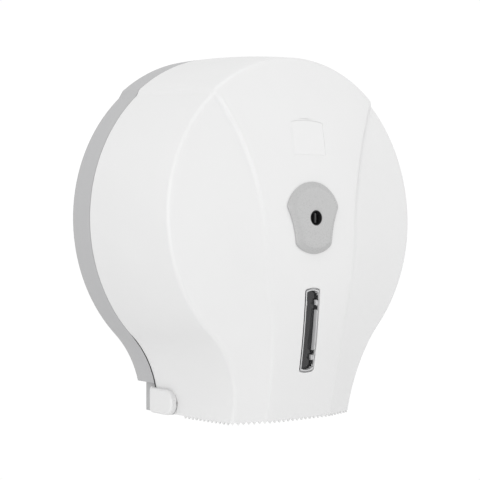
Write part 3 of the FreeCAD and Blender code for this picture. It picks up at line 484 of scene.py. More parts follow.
class CoverShape:
    """The cover's skin: domed cap and band, two wings below it, drafted side wall."""

    def __init__(self, size):
        self.radius = size.plate_radius / MM
        self.neck_half = size.neck_half_width / MM
        self.hollow = size.neck_arc_radius / MM
        self.floor = -size.bottom_drop / MM
        self.wall = size.wall / MM
        self.crown = size.side_crown_radius / MM
        self.step = size.cap_step / MM
        self.back = size.back_depth / MM
        self.dome = size.dome_depth / MM
        self.dome_drop = size.dome_centre_drop / MM
        self.dome_up = size.dome_radius_up / MM
        self.dome_across = size.dome_radius_across / MM
        self.round = size.crest_round / MM
        self.cap_angle = size.cap_half_angle
        self.arc_x = self.neck_half + self.hollow
        self.arc_z = -math.sqrt((self.radius + self.hollow) ** 2 - self.arc_x**2)
        self.turn_low = math.atan2(self.arc_z, self.arc_x)
        self.lengths = (
            self.radius * (math.pi / 2 - self.turn_low),
            self.hollow * -self.turn_low,
            self.arc_z - self.floor,
        )
        self.edge = self.band_edge()

    def band_edge(self):
        """The band's right edge from the foot to the shoulder, then out along the cap's side."""
        path = []
        height = BAND_ROWS[-1][0]
        while height < BAND_ROWS[1][0]:
            path.append((curve_value(BAND_ROWS, height, 1), height))
            height += EDGE_PITCH
        far = self.radius + self.step + EDGE_PAST
        path.append((BAND_ROWS[1][1], BAND_ROWS[1][0]))
        path.append((far * math.sin(self.cap_angle), far * math.cos(self.cap_angle)))
        return path

    def edge_distance(self, x, z):
        """Distance inside the band's edge, negative out on the wing."""
        x = abs(x)
        best = None
        for (ax, az), (bx, bz) in zip(self.edge[:-1], self.edge[1:]):
            if best is not None and az - abs(best) > z and bz - abs(best) > z:
                break
            ex, ez = bx - ax, bz - az
            t = ((x - ax) * ex + (z - az) * ez) / (ex * ex + ez * ez)
            t = min(max(t, 0.0), 1.0)
            dx, dz = x - ax - ex * t, z - az - ez * t
            away = math.hypot(dx, dz)
            if best is None or away < abs(best):
                best = away if ex * dz - ez * dx > 0 else -away
        return best

    def raised(self, x, z, ramp=None):
        """Share of the raised band at a place: 1 on it, 0 on the wing."""
        if ramp is None:
            ramp = curve_value(RAMP_ROWS, z, 1)
        return soft_step(self.edge_distance(x, z) / ramp)

    def dome_depth(self, x, z):
        """Depth of the dome, on which the cap and the band lie."""
        rise = (z + self.dome_drop) ** 2 / (2 * self.dome_up)
        return self.dome - rise - x * x / (2 * self.dome_across)

    def front_depth(self, x, z, drop=0.0):
        """Depth of the front at a place, a drop behind the outer skin."""
        half = curve_value(BAND_ROWS, z, 1)
        if z > SHOULDER_HEIGHT:
            half = min(half, SHOULDER_HALF)
        inner = self.dome_depth(half, z) - curve_value(BAND_ROWS, z, 2)
        wing = inner - curve_value(BAND_ROWS, z, 3) * (abs(x) - half)
        band = self.dome_depth(x, z)
        share = self.raised(x, z)
        return wing + (band - wing) * share - drop

    def outline(self, share):
        """Place on the outline and its inward direction, from the top (0) to the foot (1)."""
        along = share * sum(self.lengths)
        if along <= self.lengths[0]:
            turn = math.pi / 2 - along / self.radius
            out = (math.cos(turn), math.sin(turn))
            return (self.radius * out[0], self.radius * out[1]), (-out[0], -out[1])
        along -= self.lengths[0]
        if along <= self.lengths[1]:
            turn = math.pi + self.turn_low + along / self.hollow
            out = (math.cos(turn), math.sin(turn))
            place = (self.arc_x + self.hollow * out[0], self.arc_z + self.hollow * out[1])
            return place, out
        along -= self.lengths[1]
        return (self.neck_half, self.arc_z - along), (-1.0, 0.0)

    def ray(self, share, counts, drop):
        """Points of one line from the back rim up the side and over the crest to the middle."""
        side_count, round_count, front_count = counts
        (ox, oz), (nx, nz) = self.outline(share)

        def place(inset):
            return ox + nx * inset, oz + nz * inset

        def side_inset(depth):
            lean = depth**2 / (2 * self.crown)
            return lean + drop - self.step * self.raised(*place(lean), SIDE_RAMP)

        inset = side_inset(CREST_GUESS)
        for _ in range(CREST_PASSES):
            inset = side_inset(self.front_depth(*place(inset), drop))
        reach = self.round - drop / 2
        front_inset = inset + reach
        front = self.front_depth(*place(front_inset), drop)
        # The front's slope, over one millimetre
        slope = self.front_depth(*place(front_inset + 1.0), drop) - front
        corner = front - slope * (front_inset - inset)
        for _ in range(CORNER_PASSES):
            corner = front - slope * (front_inset - side_inset(corner))
        corner_inset = side_inset(corner)
        side_depth = corner - reach
        points = []
        for step in range(side_count):
            depth = self.back + (side_depth - self.back) * step / side_count
            points.append((*place(side_inset(depth)), depth))
        start_inset = side_inset(side_depth)
        for step in range(round_count):
            t = step / round_count
            a, b, c = (1 - t) ** 2, 2 * t * (1 - t), t * t
            inset = a * start_inset + b * corner_inset + c * front_inset
            points.append((*place(inset), a * side_depth + b * corner + c * front))
        x_from, z_from = place(front_inset)
        z_to = min(z_from, 0.0)
        if share >= 1.0:
            z_to = z_from = self.floor
        for step in range(front_count + 1):
            t = step / front_count
            x, z = x_from * (1 - t), z_from + (z_to - z_from) * t
            points.append((x, z, self.front_depth(x, z, drop)))
        return points


class Opening:
    """A rounded opening in the front, from its middle, half sizes, corner and end bulges."""

    def __init__(self, middle, half_x, half_z, corner, bulge_top=0.0, bulge_low=0.0):
        self.middle = middle
        self.half = (half_x, half_z)
        self.corner = corner
        self.bulge = (bulge_top, bulge_low)

    def place(self, share_x, share_z, grow):
        """Place on the opening's edge, grown outwards, from shares of its half sizes."""
        half_x, half_z = self.half[0] + grow, self.half[1] + grow
        corner = min(self.corner + grow, half_x, half_z)
        x, z = share_x * half_x, share_z * half_z
        inner_x, inner_z = half_x - corner, half_z - corner
        if abs(x) >= inner_x and abs(z) >= inner_z and corner > 0:
            dx = x - math.copysign(inner_x, x)
            dz = z - math.copysign(inner_z, z)
            away = math.hypot(dx, dz)
            if away > 0:
                x = math.copysign(inner_x, x) + dx / away * corner
                z = math.copysign(inner_z, z) + dz / away * corner
        bulge = self.bulge[0] if z > 0 else self.bulge[1]
        z += math.copysign(bulge * (1 - share_x**2), z) * abs(share_z) ** BULGE_FADE
        return self.middle[0] + x, self.middle[1] + z


def skin_grid(shape, cells, drop):
    """A grid laid over the cover's skin, from the foot on the right over the top to the left."""
    rays, *counts = cells
    columns = sum(counts)
    bm = bmesh.new()
    bmesh.ops.create_grid(bm, x_segments=2 * rays, y_segments=columns, size=1.0)
    lines = [shape.ray(index / rays, counts, drop) for index in range(rays + 1)]
    for vert in bm.verts:
        across = round((vert.co.x + 1) * rays)
        along = round((vert.co.y + 1) / 2 * columns)
        x, z, depth = lines[abs(across - rays)][along]
        vert.co = point(x if across <= rays else -x, z, depth)
    bmesh.ops.remove_doubles(bm, verts=bm.verts, dist=SKIN_JOIN * MM)
    bmesh.ops.recalc_face_normals(bm, faces=bm.faces)
    probe = max(bm.faces, key=lambda face: -face.calc_center_median().y)
    if probe.normal.y > 0:
        bmesh.ops.reverse_faces(bm, faces=bm.faces)
    return bm


def next_ring(bm, edges, seeds):
    """Extrudes a ring of edges: gives the new ring and its vertices with the old ones' seeds."""
    made = bmesh.ops.extrude_edge_only(bm, edges=edges)["geom"]
    ring = [
        item
        for item in made
        if isinstance(item, bmesh.types.BMEdge) and not any(vert in seeds for vert in item.verts)
    ]
    moved = {
        vert: next(
            seeds[edge.other_vert(vert)]
            for edge in vert.link_edges
            if edge.other_vert(vert) in seeds
        )
        for vert in only_verts(made)
    }
    return ring, moved


def cut_opening(bm, shape, opening, rings, drop=0.0):
    """Cuts an opening in a skin and runs rings of (grow, drop) down its edge."""
    margin = rings[0][0]
    half_x, half_z = opening.half[0] + margin, opening.half[1] + margin
    mx, mz = opening.middle

    def front_faces(room):
        """Faces of the front whose middle lies in the opening's margin, or this far round it."""
        found = []
        for face in bm.faces:
            centre = face.calc_center_median() / MM
            inside = abs(centre.x - mx) < half_x + room and abs(centre.z - mz) < half_z + room
            if inside and centre.y < -FRONT_FROM:
                found.append(face)
        return found

    for x, z, normal in (
        (mx - half_x, mz, (1, 0, 0)),
        (mx + half_x, mz, (1, 0, 0)),
        (mx, mz - half_z, (0, 0, 1)),
        (mx, mz + half_z, (0, 0, 1)),
    ):
        near = front_faces(CUT_ROOM)
        geom = near + each_once(edge for face in near for edge in face.edges)
        geom += each_once(vert for face in near for vert in face.verts)
        bmesh.ops.bisect_plane(
            bm, geom=geom, dist=CUT_SNAP * MM, plane_co=point(x, z, 0), plane_no=normal
        )
    inside = front_faces(0.0)
    rim = each_once(edge for face in inside for edge in face.edges)
    bmesh.ops.delete(bm, geom=inside, context="FACES")
    rim = [edge for edge in rim if edge.is_valid and edge.is_boundary]
    seeds = {}
    for edge in rim:
        for vert in edge.verts:
            seeds[vert] = ((vert.co.x / MM - mx) / half_x, (vert.co.z / MM - mz) / half_z)
    for grow, below in rings[1:]:
        rim, seeds = next_ring(bm, rim, seeds)
        for vert, seed in seeds.items():
            x, z = opening.place(*seed, grow)
            vert.co = point(x, z, shape.front_depth(x, z, drop + below))
    return rim


def edge_rings(margin, radius, depth, steps):
    """Rings for a rounded edge of an opening: flat margin, quarter round, then the wall."""
    rings = [(margin, 0.0), ((margin + radius) / 2, 0.0), (radius, 0.0)]
    for step in range(1, steps + 1):
        turn = math.pi / 2 * step / steps
        rings.append((radius * (1 - math.sin(turn)), radius * (1 - math.cos(turn))))
    rings.append((0.0, depth))
    return rings


def join_into(target, source):
    """Adds one bmesh to another and frees it."""
    mesh = bpy.data.meshes.new("part")
    source.to_mesh(mesh)
    source.free()
    target.from_mesh(mesh)
    bpy.data.meshes.remove(mesh)


def mark_sharp(bm, degrees):
    """Smooth faces, with sharp edges where the surface turns more than the angle."""
    limit = math.radians(degrees)
    for face in bm.faces:
        face.smooth = True
    for edge in bm.edges:
        edge.smooth = len(edge.link_faces) == 2 and edge.calc_face_angle(0.0) < limit


def mesh_object(bm, name, materials):
    """Turns a bmesh into an object in the scene, with its materials."""
    mesh = bpy.data.meshes.new(name)
    bm.to_mesh(mesh)
    bm.free()
    for material in materials:
        mesh.materials.append(material)
    made = bpy.data.objects.new(name, mesh)
    bpy.context.scene.collection.objects.link(made)
    return made


def finish_piece(bm, name, body, materials, stands_for):
    """Makes the object of a piece, gives it its body and materials, and hides the nodes it
    replaces.
    """
    piece = mesh_object(bm, name, materials)
    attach(piece, body)
    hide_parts(*stands_for)
    return piece


def merged_mesh(node):
    """The mesh of a frame node with its loose triangles joined."""
    bm = bmesh.new()
    bm.from_mesh(frame["nodes"][node].data)
    bmesh.ops.remove_doubles(bm, verts=bm.verts, dist=COPY_JOIN * MM)
    mark_sharp(bm, COPY_SHARP)
    return bm


def merged_copy(node, material, bevel=0.0, extra=None):
    """A smooth copy of a frame node that stands for it, with a further mesh joined in."""
    bm = merged_mesh(node)
    if extra:
        join_into(bm, extra)
    body = frame["nodes"][node]["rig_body"]
    piece = finish_piece(bm, node + "_finished", body, (material,), (node,))
    if bevel:
        rounding = piece.modifiers.new("edge rounding", "BEVEL")
        rounding.width = bevel * MM
        rounding.segments = 2
        rounding.limit_method = "ANGLE"
        rounding.angle_limit = math.radians(BLOCK_SHARP)
    return piece


def spun_ring(profile, segments):
    """A ring about the roll axis, spun from the corners (radius, depth) of its section."""
    bm = bmesh.new()
    verts = [bm.verts.new(point(radius, 0, depth)) for radius, depth in profile]
    edges = [bm.edges.new(pair) for pair in zip(verts, verts[1:] + verts[:1])]
    bmesh.ops.spin(
        bm,
        geom=verts + edges,
        cent=(0, 0, 0),
        axis=(0, 1, 0),
        angle=2 * math.pi,
        steps=segments,
        use_merge=True,
    )
    bmesh.ops.recalc_face_normals(bm, faces=bm.faces)
    mark_sharp(bm, SKIN_SHARP)
    return bm


def every_edge(a, b):
    """Chooses each edge of a block, from its ends."""
    return True


def rounded_block(one, other, rounds):
    """A block between two corners. Each round bevels the edges it chooses from their ends."""
    bm = bmesh.new()
    bmesh.ops.create_cube(bm, size=1.0)
    for axis in range(3):
        low, high = sorted((one[axis], other[axis]))
        for vert in bm.verts:
            vert.co[axis] = low if vert.co[axis] < 0 else high
    for choose, radius, segments in rounds:
        edges = [edge for edge in bm.edges if choose(edge.verts[0].co / MM, edge.verts[1].co / MM)]
        bmesh.ops.bevel(
            bm,
            geom=edges,
            offset=radius * MM,
            segments=segments,
            profile=0.5,
            affect="EDGES",
            material=-1,
        )
    bmesh.ops.recalc_face_normals(bm, faces=bm.faces)
    mark_sharp(bm, BLOCK_SHARP)
    return bm


def add_node(tree, kind, settings=None, links=None):
    """Adds a node, sets its sockets or attributes, and links its inputs."""
    node = tree.nodes.new(kind)
    for key, value in (settings or {}).items():
        if isinstance(key, int) or key in node.inputs:
            node.inputs[key].default_value = value
        else:
            setattr(node, key, value)
    for key, output in (links or {}).items():
        tree.links.new(output, node.inputs[key])
    return node


def new_material(name):
    """A material with an empty node tree, or the finished one if it is there already."""
    material = bpy.data.materials.get(name)
    if material:
        return material, None
    material = bpy.data.materials.new(name)
    material.use_nodes = True
    material.node_tree.nodes.clear()
    return material, material.node_tree


def tones(colour, shade):
    """A colour and its darker shade, as a mix node takes them."""
    return tuple(colour) + (1.0,), tuple(value * shade for value in colour) + (1.0,)


def moulded(colours, kind):
    """Moulded plastic: faint flow clouds in the colour, spark-eroded grain in the gloss.

    The grain is a few tenths of a millimetre on the real mould. It is drawn up to three times as
    coarse, so that it shows at the size of a photograph.
    """
    name, roughness, spread, grain, height, ior = MOULDINGS[kind]
    material, tree = new_material(name)
    if tree is None:
        return material
    base, darker = tones(getattr(colours, kind), CLOUD_SHADE)
    where = add_node(tree, "ShaderNodeTexCoord")
    flow = add_node(
        tree,
        "ShaderNodeTexNoise",
        {"Scale": 1 / (FLOW_CLOUD * MM), "Detail": 3.0, "Roughness": 0.5},
        {"Vector": where.outputs["Object"]},
    )
    clouds = add_node(
        tree, "ShaderNodeMix", {"data_type": "RGBA", 6: base, 7: darker}, {0: flow.outputs["Fac"]}
    )
    texture = add_node(
        tree,
        "ShaderNodeTexNoise",
        {"Scale": 1 / (grain * MM), "Detail": 2.0, "Roughness": 0.6},
        {"Vector": where.outputs["Object"]},
    )
    gloss = add_node(
        tree,
        "ShaderNodeMapRange",
        {"To Min": roughness - spread, "To Max": roughness + spread},
        {"Value": texture.outputs["Fac"]},
    )
    bump = add_node(
        tree,
        "ShaderNodeBump",
        {"Strength": 0.25, "Distance": height * MM},
        {"Height": texture.outputs["Fac"]},
    )
    shader = add_node(
        tree,
        "ShaderNodeBsdfPrincipled",
        {"IOR": ior},
        {
            "Base Color": clouds.outputs[2],
            "Roughness": gloss.outputs["Result"],
            "Normal": bump.outputs["Normal"],
        },
    )
    add_node(tree, "ShaderNodeOutputMaterial", {}, {"Surface": shader.outputs["BSDF"]})
    return material


def zinc_steel(colour):
    """Pressed steel, zinc plated: dull metal with faint crystal patches a few millimetres wide."""
    material, tree = new_material("steel, zinc plated")
    if tree is None:
        return material
    base, darker = tones(colour, CRYSTAL_SHADE)
    where = add_node(tree, "ShaderNodeTexCoord")
    crystals = add_node(
        tree,
        "ShaderNodeTexVoronoi",
        {"Scale": 1 / (CRYSTAL * MM)},
        {"Vector": where.outputs["Object"]},
    )
    tint = add_node(
        tree,
        "ShaderNodeMix",
        {"data_type": "RGBA", 6: base, 7: darker},
        {0: crystals.outputs["Distance"]},
    )
    gloss = add_node(
        tree,
        "ShaderNodeMapRange",
        {"To Min": 0.26, "To Max": 0.44},
        {"Value": crystals.outputs["Distance"]},
    )
    shader = add_node(
        tree,
        "ShaderNodeBsdfPrincipled",
        {"Metallic": 1.0},
        {"Base Color": tint.outputs[2], "Roughness": gloss.outputs["Result"]},
    )
    add_node(tree, "ShaderNodeOutputMaterial", {}, {"Surface": shader.outputs["BSDF"]})
    return material


def polycarbonate(name, colour, passes):
    """Polished polycarbonate: glossy, lets part of the light through, with a haze of handling."""
    material, tree = new_material(name)
    if tree is None:
        return material
    where = add_node(tree, "ShaderNodeTexCoord")
    haze = add_node(
        tree,
        "ShaderNodeTexNoise",
        {"Scale": 1 / (HAZE * MM), "Detail": 4.0, "Roughness": 0.6},
        {"Vector": where.outputs["Object"]},
    )
    gloss = add_node(
        tree, "ShaderNodeMapRange", {"To Min": 0.05, "To Max": 0.14}, {"Value": haze.outputs["Fac"]}
    )
    shader = add_node(
        tree,
        "ShaderNodeBsdfPrincipled",
        {"Base Color": tuple(colour) + (1.0,), "IOR": 1.58, "Transmission Weight": passes},
        {"Roughness": gloss.outputs["Result"]},
    )
    add_node(tree, "ShaderNodeOutputMaterial", {}, {"Surface": shader.outputs["BSDF"]})
    return material


def floor_paint():
    """Rolled white emulsion: matt off-white, with a trace of mottle from the roller."""
    material, tree = new_material("white emulsion, rolled")
    where = add_node(tree, "ShaderNodeTexCoord")
    mottle = add_node(
        tree, "ShaderNodeTexNoise", {"Scale": FLOOR_MOTTLE}, {"Vector": where.outputs["Object"]}
    )
    tone = add_node(
        tree,
        "ShaderNodeMapRange",
        {"To Min": 0.78, "To Max": 0.82},
        {"Value": mottle.outputs["Fac"]},
    )
    shader = add_node(
        tree,
        "ShaderNodeBsdfPrincipled",
        {"Roughness": 0.95},
        {"Base Color": tone.outputs["Result"]},
    )
    add_node(tree, "ShaderNodeOutputMaterial", {}, {"Surface": shader.outputs["BSDF"]})
    return material


def studio_room(size, ahead):
    """White room, brighter on the backdrop's side than on the camera's side."""
    world = bpy.data.worlds.new("white studio room")
    world.use_nodes = True
    tree = world.node_tree
    tree.nodes.clear()
    where = add_node(tree, "ShaderNodeTexCoord")
    facing = add_node(
        tree,
        "ShaderNodeVectorMath",
        {"operation": "DOT_PRODUCT", 1: ahead},
        {0: where.outputs["Generated"]},
    )
    strength = add_node(
        tree,
        "ShaderNodeMapRange",
        {
            "interpolation_type": "SMOOTHSTEP",
            "From Min": ROOM_FADE[0],
            "From Max": ROOM_FADE[1],
            "To Min": size.room_front,
            "To Max": size.room_behind,
        },
        {"Value": facing.outputs["Value"]},
    )
    glow = add_node(
        tree,
        "ShaderNodeBackground",
        {"Color": (1, 1, 1, 1)},
        {"Strength": strength.outputs["Result"]},
    )
    add_node(tree, "ShaderNodeOutputWorld", {}, {"Surface": glow.outputs["Background"]})
    return world


class DISPENSER_OT_stage(bpy.types.Operator):
    """Floor, soft lights and the camera at the photograph's angle"""

    bl_idname = "dispenser.stage"
    bl_label = "Stage"

    def execute(self, context):
        scene = context.scene
        size = scene.dispenser_stage
        scene.view_settings.view_transform = "Standard"
        ahead = Vector((math.sin(size.camera_angle), math.cos(size.camera_angle), 0))
        right = Vector((ahead.y, -ahead.x, 0))
        scene.world = studio_room(size, ahead)

        bm = bmesh.new()
        bmesh.ops.create_circle(bm, cap_ends=True, segments=FLOOR_POINTS, radius=FLOOR_RADIUS)
        bmesh.ops.translate(bm, verts=bm.verts, vec=(0, 0, -size.floor_drop))
        floor = mesh_object(bm, "floor", (floor_paint(),))

        for name, place, width, power in LIGHTS:
            light = bpy.data.lights.new(name, "AREA")
            light.size = width
            light.energy = power
            lamp = bpy.data.objects.new(name, light)
            lamp.location = place
            lamp.rotation_euler = (-Vector(place)).to_track_quat("-Z", "Y").to_euler()
            scene.collection.objects.link(lamp)

        camera = bpy.data.cameras.new("camera")
        camera.sensor_width = 36.0
        camera.lens = size.lens
        camera.shift_y = size.shift
        camera.clip_start = 0.01
        camera.clip_end = 50.0
        holder = bpy.data.objects.new("camera", camera)
        holder.location = -ahead * size.camera_distance + right * size.camera_aside
        holder.location.z = size.camera_height
        holder.rotation_euler = ahead.to_track_quat("-Z", "Y").to_euler()
        scene.collection.objects.link(holder)
        scene.camera = holder
        return {"FINISHED"}


def window_opening(fittings):
    """The sight window's opening in the cover, which its insert stands in."""
    return Opening(
        (0, -fittings.window_drop / MM),
        fittings.window_width / 2 / MM,
        fittings.window_length / 2 / MM,
        WINDOW_CORNER,
        WINDOW_BULGE,
        WINDOW_BULGE,
    )


class DISPENSER_OT_cover(bpy.types.Operator):
    """White cover with its cap, band, wings, hinge bosses and toothed edge"""

    bl_idname = "dispenser.cover"
    bl_label = "Cover"

    def execute(self, context):
        scene = context.scene
        fittings = scene.dispenser_fittings
        shape = CoverShape(scene.dispenser_cover)
        lock = Opening((0, 0), LOCK_HOLE, LOCK_HOLE, LOCK_HOLE)
        badge = Opening(
            (0, fittings.badge_height / MM),
            fittings.badge_width / 2 / MM,
            fittings.badge_length / 2 / MM,
            BADGE_CORNER,
            BADGE_ARCH,
        )

        outer = skin_grid(shape, OUTER_CELLS, 0.0)
        inner = skin_grid(shape, INNER_CELLS, shape.wall)
        for opening, (margin, radius, steps) in (
            (window_opening(fittings), WINDOW_EDGE),
            (lock, LOCK_EDGE),
        ):
            cut_opening(outer, shape, opening, edge_rings(margin, radius, shape.wall, steps))
            cut_opening(inner, shape, opening, [(margin, 0.0), (0.0, 0.0)], shape.wall)
        margin, radius, steps = BADGE_EDGE
        recess = cut_opening(outer, shape, badge, edge_rings(margin, radius, BADGE_RECESS, steps))
        bmesh.ops.edgenet_fill(outer, edges=recess)
        bmesh.ops.reverse_faces(inner, faces=inner.faces)
        join_into(outer, inner)
        bridge_rims(outer)
        mark_sharp(outer, SKIN_SHARP)
        for side in (1, -1):
            for part in hinge_boss(side, fittings.lug_reach / MM):
                join_into(outer, part)
        join_into(outer, teeth(shape, scene.dispenser_cover))
        material = moulded(scene.dispenser_colours, "cover")
        finish_piece(outer, "cover_shell", "cover", (material,), ("front_cover",))
        return {"FINISHED"}


def bridge_rims(bm):
    """Joins the outer and inner skins along the back rim, the foot and each opening."""
    loose = dict.fromkeys(edge for edge in bm.edges if edge.is_boundary)
    loops = []
    while loose:
        edge, _ = loose.popitem()
        loop = [edge]
        ends = list(edge.verts)
        while ends:
            vert = ends.pop()
            for other in vert.link_edges:
                if other in loose:
                    del loose[other]
                    loop.append(other)
                    ends.append(other.other_vert(vert))
        loops.append(loop)

    def middle(loop):
        total = Vector()
        for edge in loop:
            total += (edge.verts[0].co + edge.verts[1].co) / 2
        return total / len(loop)

    def reach(loop):
        return sum(edge.calc_length() for edge in loop)

    while loops:
        first = loops.pop()

        def apart(loop):
            return (middle(loop) - middle(first)).length + abs(reach(loop) - reach(first))

        partner = min(loops, key=apart)
        loops.remove(partner)
        bmesh.ops.bridge_loops(bm, edges=first + partner)


def hinge_boss(side, reach):
    """Base round the hinge pin and the boss on it, half round in front, with soft outer edges."""
    parts = []
    for x_from, x_to, back, outer_round in (
        (LUG_INNER, LUG_BASE_REACH, LUG_BASE_BACK, LUG_BASE_ROUND),
        (LUG_BASE_REACH - LUG_OVERLAP, reach, LUG_BOSS_BACK, LUG_BOSS_ROUND),
    ):
        middle = (back + LUG_FRONT) / 2

        def runs_along(a, b):
            return abs(a.x - b.x) > LUG_RUN

        def front(a, b):
            return runs_along(a, b) and a.y < -middle

        def rear(a, b):
            return runs_along(a, b) and a.y > -middle

        def outer(a, b):
            return min(a.x, b.x) > x_to - LUG_SLACK

        block = rounded_block(
            point(x_from, LUG_LOW, back),
            point(x_to, LUG_HIGH, LUG_FRONT),
            ((front, *LUG_FRONT_ROUND), (rear, *LUG_REAR_ROUND), (outer, *outer_round)),
        )
        if side < 0:
            bmesh.ops.scale(block, vec=(-1, 1, 1), verts=block.verts)
            bmesh.ops.recalc_face_normals(block, faces=block.faces)
        parts.append(block)
    return parts


def teeth(shape, size):
    """Tear teeth along the foot, from one hinge boss round the front to the other."""
    line = shape.ray(1.0, TOOTH_CELLS, shape.wall / 2)
    right = [(x, depth) for x, _, depth in line if depth > TOOTH_FROM_DEPTH or x < TOOTH_FROM_X]
    path = right + [(-x, depth) for x, depth in reversed(right[:-1])]
    pitch = size.tooth_pitch / MM
    drop = size.tooth_height / MM
    thick = TOOTH_THICKNESS
    bm = bmesh.new()
    travelled = 0.0
    next_at = pitch / 2
    for (ax, ad), (bx, bd) in zip(path[:-1], path[1:]):
        run = math.hypot(bx - ax, bd - ad)
        if run == 0:
            continue
        ux, ud = (bx - ax) / run, (bd - ad) / run
        while travelled + run >= next_at:
            t = (next_at - travelled) / run
            x, depth = ax + (bx - ax) * t, ad + (bd - ad) * t
            corners = []
            for along, height in ((-pitch / 2, TOOTH_ROOT), (0.0, -drop), (pitch / 2, TOOTH_ROOT)):
                place = point(
                    x + ux * along + ud * thick / 2,
                    shape.floor + height,
                    depth + ud * along - ux * thick / 2,
                )
                corners.append(bm.verts.new(place))
            face = bm.faces.new(corners)
            made = bmesh.ops.extrude_face_region(bm, geom=[face])["geom"]
            across = point(-ud * thick, 0, ux * thick)
            bmesh.ops.translate(bm, verts=only_verts(made), vec=across)
            next_at += pitch
        travelled += run
    bmesh.ops.recalc_face_normals(bm, faces=bm.faces)
    return bm


class DISPENSER_OT_window(bpy.types.Operator):
    """Sight window: clear rim with clips, smoked pane set back in it, and flange behind the wall"""

    bl_idname = "dispenser.window"
    bl_label = "Sight window"

    def execute(self, context):
        scene = context.scene
        fittings = scene.dispenser_fittings
        shape = CoverShape(scene.dispenser_cover)
        opening = window_opening(fittings)
        pane_front = fittings.pane_setback / MM
        outer, inner = -INSERT_GAP, -INSERT_GAP - INSERT_RIM
        wall_back = shape.wall + FLANGE_GAP
        # The insert as rings of (grow from the opening's edge, drop behind the front): the pane's
        # edge, up inside the rim, over its front, down outside round the flange, and back in
        rings = (
            (inner, pane_front),
            (inner, RIM_FRONT + RIM_SOFT_IN),
            (inner + RIM_SOFT_IN, RIM_FRONT),
            (outer - RIM_SOFT_OUT, RIM_FRONT),
            (outer, RIM_FRONT + RIM_SOFT_OUT),
            (outer, wall_back),
            (FLANGE_WIDTH, wall_back),
            (FLANGE_WIDTH, wall_back + FLANGE_THICKNESS),
            (outer, wall_back + FLANGE_THICKNESS),
            (outer, INSERT_BACK),
            (inner, INSERT_BACK),
            (inner, pane_front + PANE_THICKNESS),
        )
        bm = bmesh.new()
        bmesh.ops.create_circle(bm, cap_ends=False, segments=INSERT_POINTS, radius=1.0)
        seeds = {}
        for vert in bm.verts:
            longest = max(abs(vert.co.x), abs(vert.co.y))
            seeds[vert] = (vert.co.x / longest, vert.co.y / longest)
        edges = list(bm.edges)
        place_ring(seeds, opening, shape, *rings[0])
        front = bmesh.ops.edgenet_fill(bm, edges=edges)["faces"]
        for grow, drop in rings[1:]:
            edges, seeds = next_ring(bm, edges, seeds)
            place_ring(seeds, opening, shape, grow, drop)
        back = bmesh.ops.edgenet_fill(bm, edges=edges)["faces"]
        bmesh.ops.recalc_face_normals(bm, faces=bm.faces)
        mark_sharp(bm, BLOCK_SHARP)
        for face in front + back:
            face.material_index = SMOKED_PANE_AND_SHADE
            face.smooth = False
        # Painted shade: the rim's outer side on the left, and the notches beside the clips, take
        # the dark smoked plastic where shade falls
        left = opening.middle[0] - opening.half[0] - outer
        for face in bm.faces:
            middle = face.calc_center_median() / MM
            face_drop = shape.front_depth(middle.x, middle.z) + middle.y
            shaded_side_of_rim = abs(middle.x - left) < RIM_SLACK and face_drop < wall_back
            if shaded_side_of_rim or notched(opening, middle.x, middle.z):
                face.material_index = SMOKED_PANE_AND_SHADE
        for part in window_clips(opening, shape, inner):
            join_into(bm, part)
        colours = scene.dispenser_colours
        # Clear moulded polycarbonate: a pale, glossy rim that catches the light
        clear = polycarbonate("clear polycarbonate, moulded", colours.rim, RIM_PASSES)
        # Smoked polycarbonate: a near-black, glossy pane that lets a little light through; also
        # laid as painted shade on the rim's left side and in the notches
        smoked = polycarbonate("smoked polycarbonate, polished", colours.pane, PANE_PASSES)
        finish_piece(bm, "window_insert", "cover", (clear, smoked), ("window_lens",))
        return {"FINISHED"}


def notched(opening, x, z):
    """Whether a place on the insert's edge lies in a notch beside a clip."""
    from_end = opening.half[1] - abs(z - opening.middle[1])
    return x > 0 and CLIP_NEAR < from_end < CLIP_FAR and not CLIP_LOW < from_end < CLIP_HIGH


def place_ring(seeds, opening, shape, grow, drop):
    """Puts a ring of the insert in its place, its right edge cut down beside each clip."""
    for vert, seed in seeds.items():
        x, z = opening.place(*seed, grow)
        depth = drop
        if drop < RIM_DEPTH and notched(opening, x, z):
            depth = CLIP_NOTCH
        vert.co = point(x, z, shape.front_depth(x, z, depth))


def window_clips(opening, shape, inner):
    """Small hooks on the rim's inner faces, two at each side."""
    clips = []
    reach = opening.half[0] + inner
    for side in (-1, 1):
        for end in (-1, 1):
            z_low = opening.middle[1] + end * (opening.half[1] - CLIP_LOW)
            z_high = opening.middle[1] + end * (opening.half[1] - CLIP_HIGH)
            depth = shape.front_depth(reach, z_low)
            clip = rounded_block(
                point(side * (reach - CLIP_OUT), z_low, depth - CLIP_BACK),
                point(side * (reach + CLIP_IN), z_high, depth - CLIP_FRONT),
                ((every_edge, *CLIP_ROUND),),
            )
            clips.append(clip)
    return clips


class DISPENSER_OT_badge(bpy.types.Operator):
    """Blank badge in the shallow recess above the lock"""

    bl_idname = "dispenser.badge"
    bl_label = "Badge"

    def execute(self, context):
        bm = merged_mesh("name_badge")
        low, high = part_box("name_badge")
        middle = (low[2] + high[2]) / 2
        for vert in bm.verts:
            vert.co.x *= 1 + BADGE_SIDE_GROW * MM / high[0]
            vert.co.z += (BADGE_TOP_GROW if vert.co.z > middle else -BADGE_SIDE_GROW) * MM
        material = moulded(context.scene.dispenser_colours, "badge")
        finish_piece(
            bm, "name_badge_finished", "cover", (material,), ("name_badge",)
        )
        return {"FINISHED"}


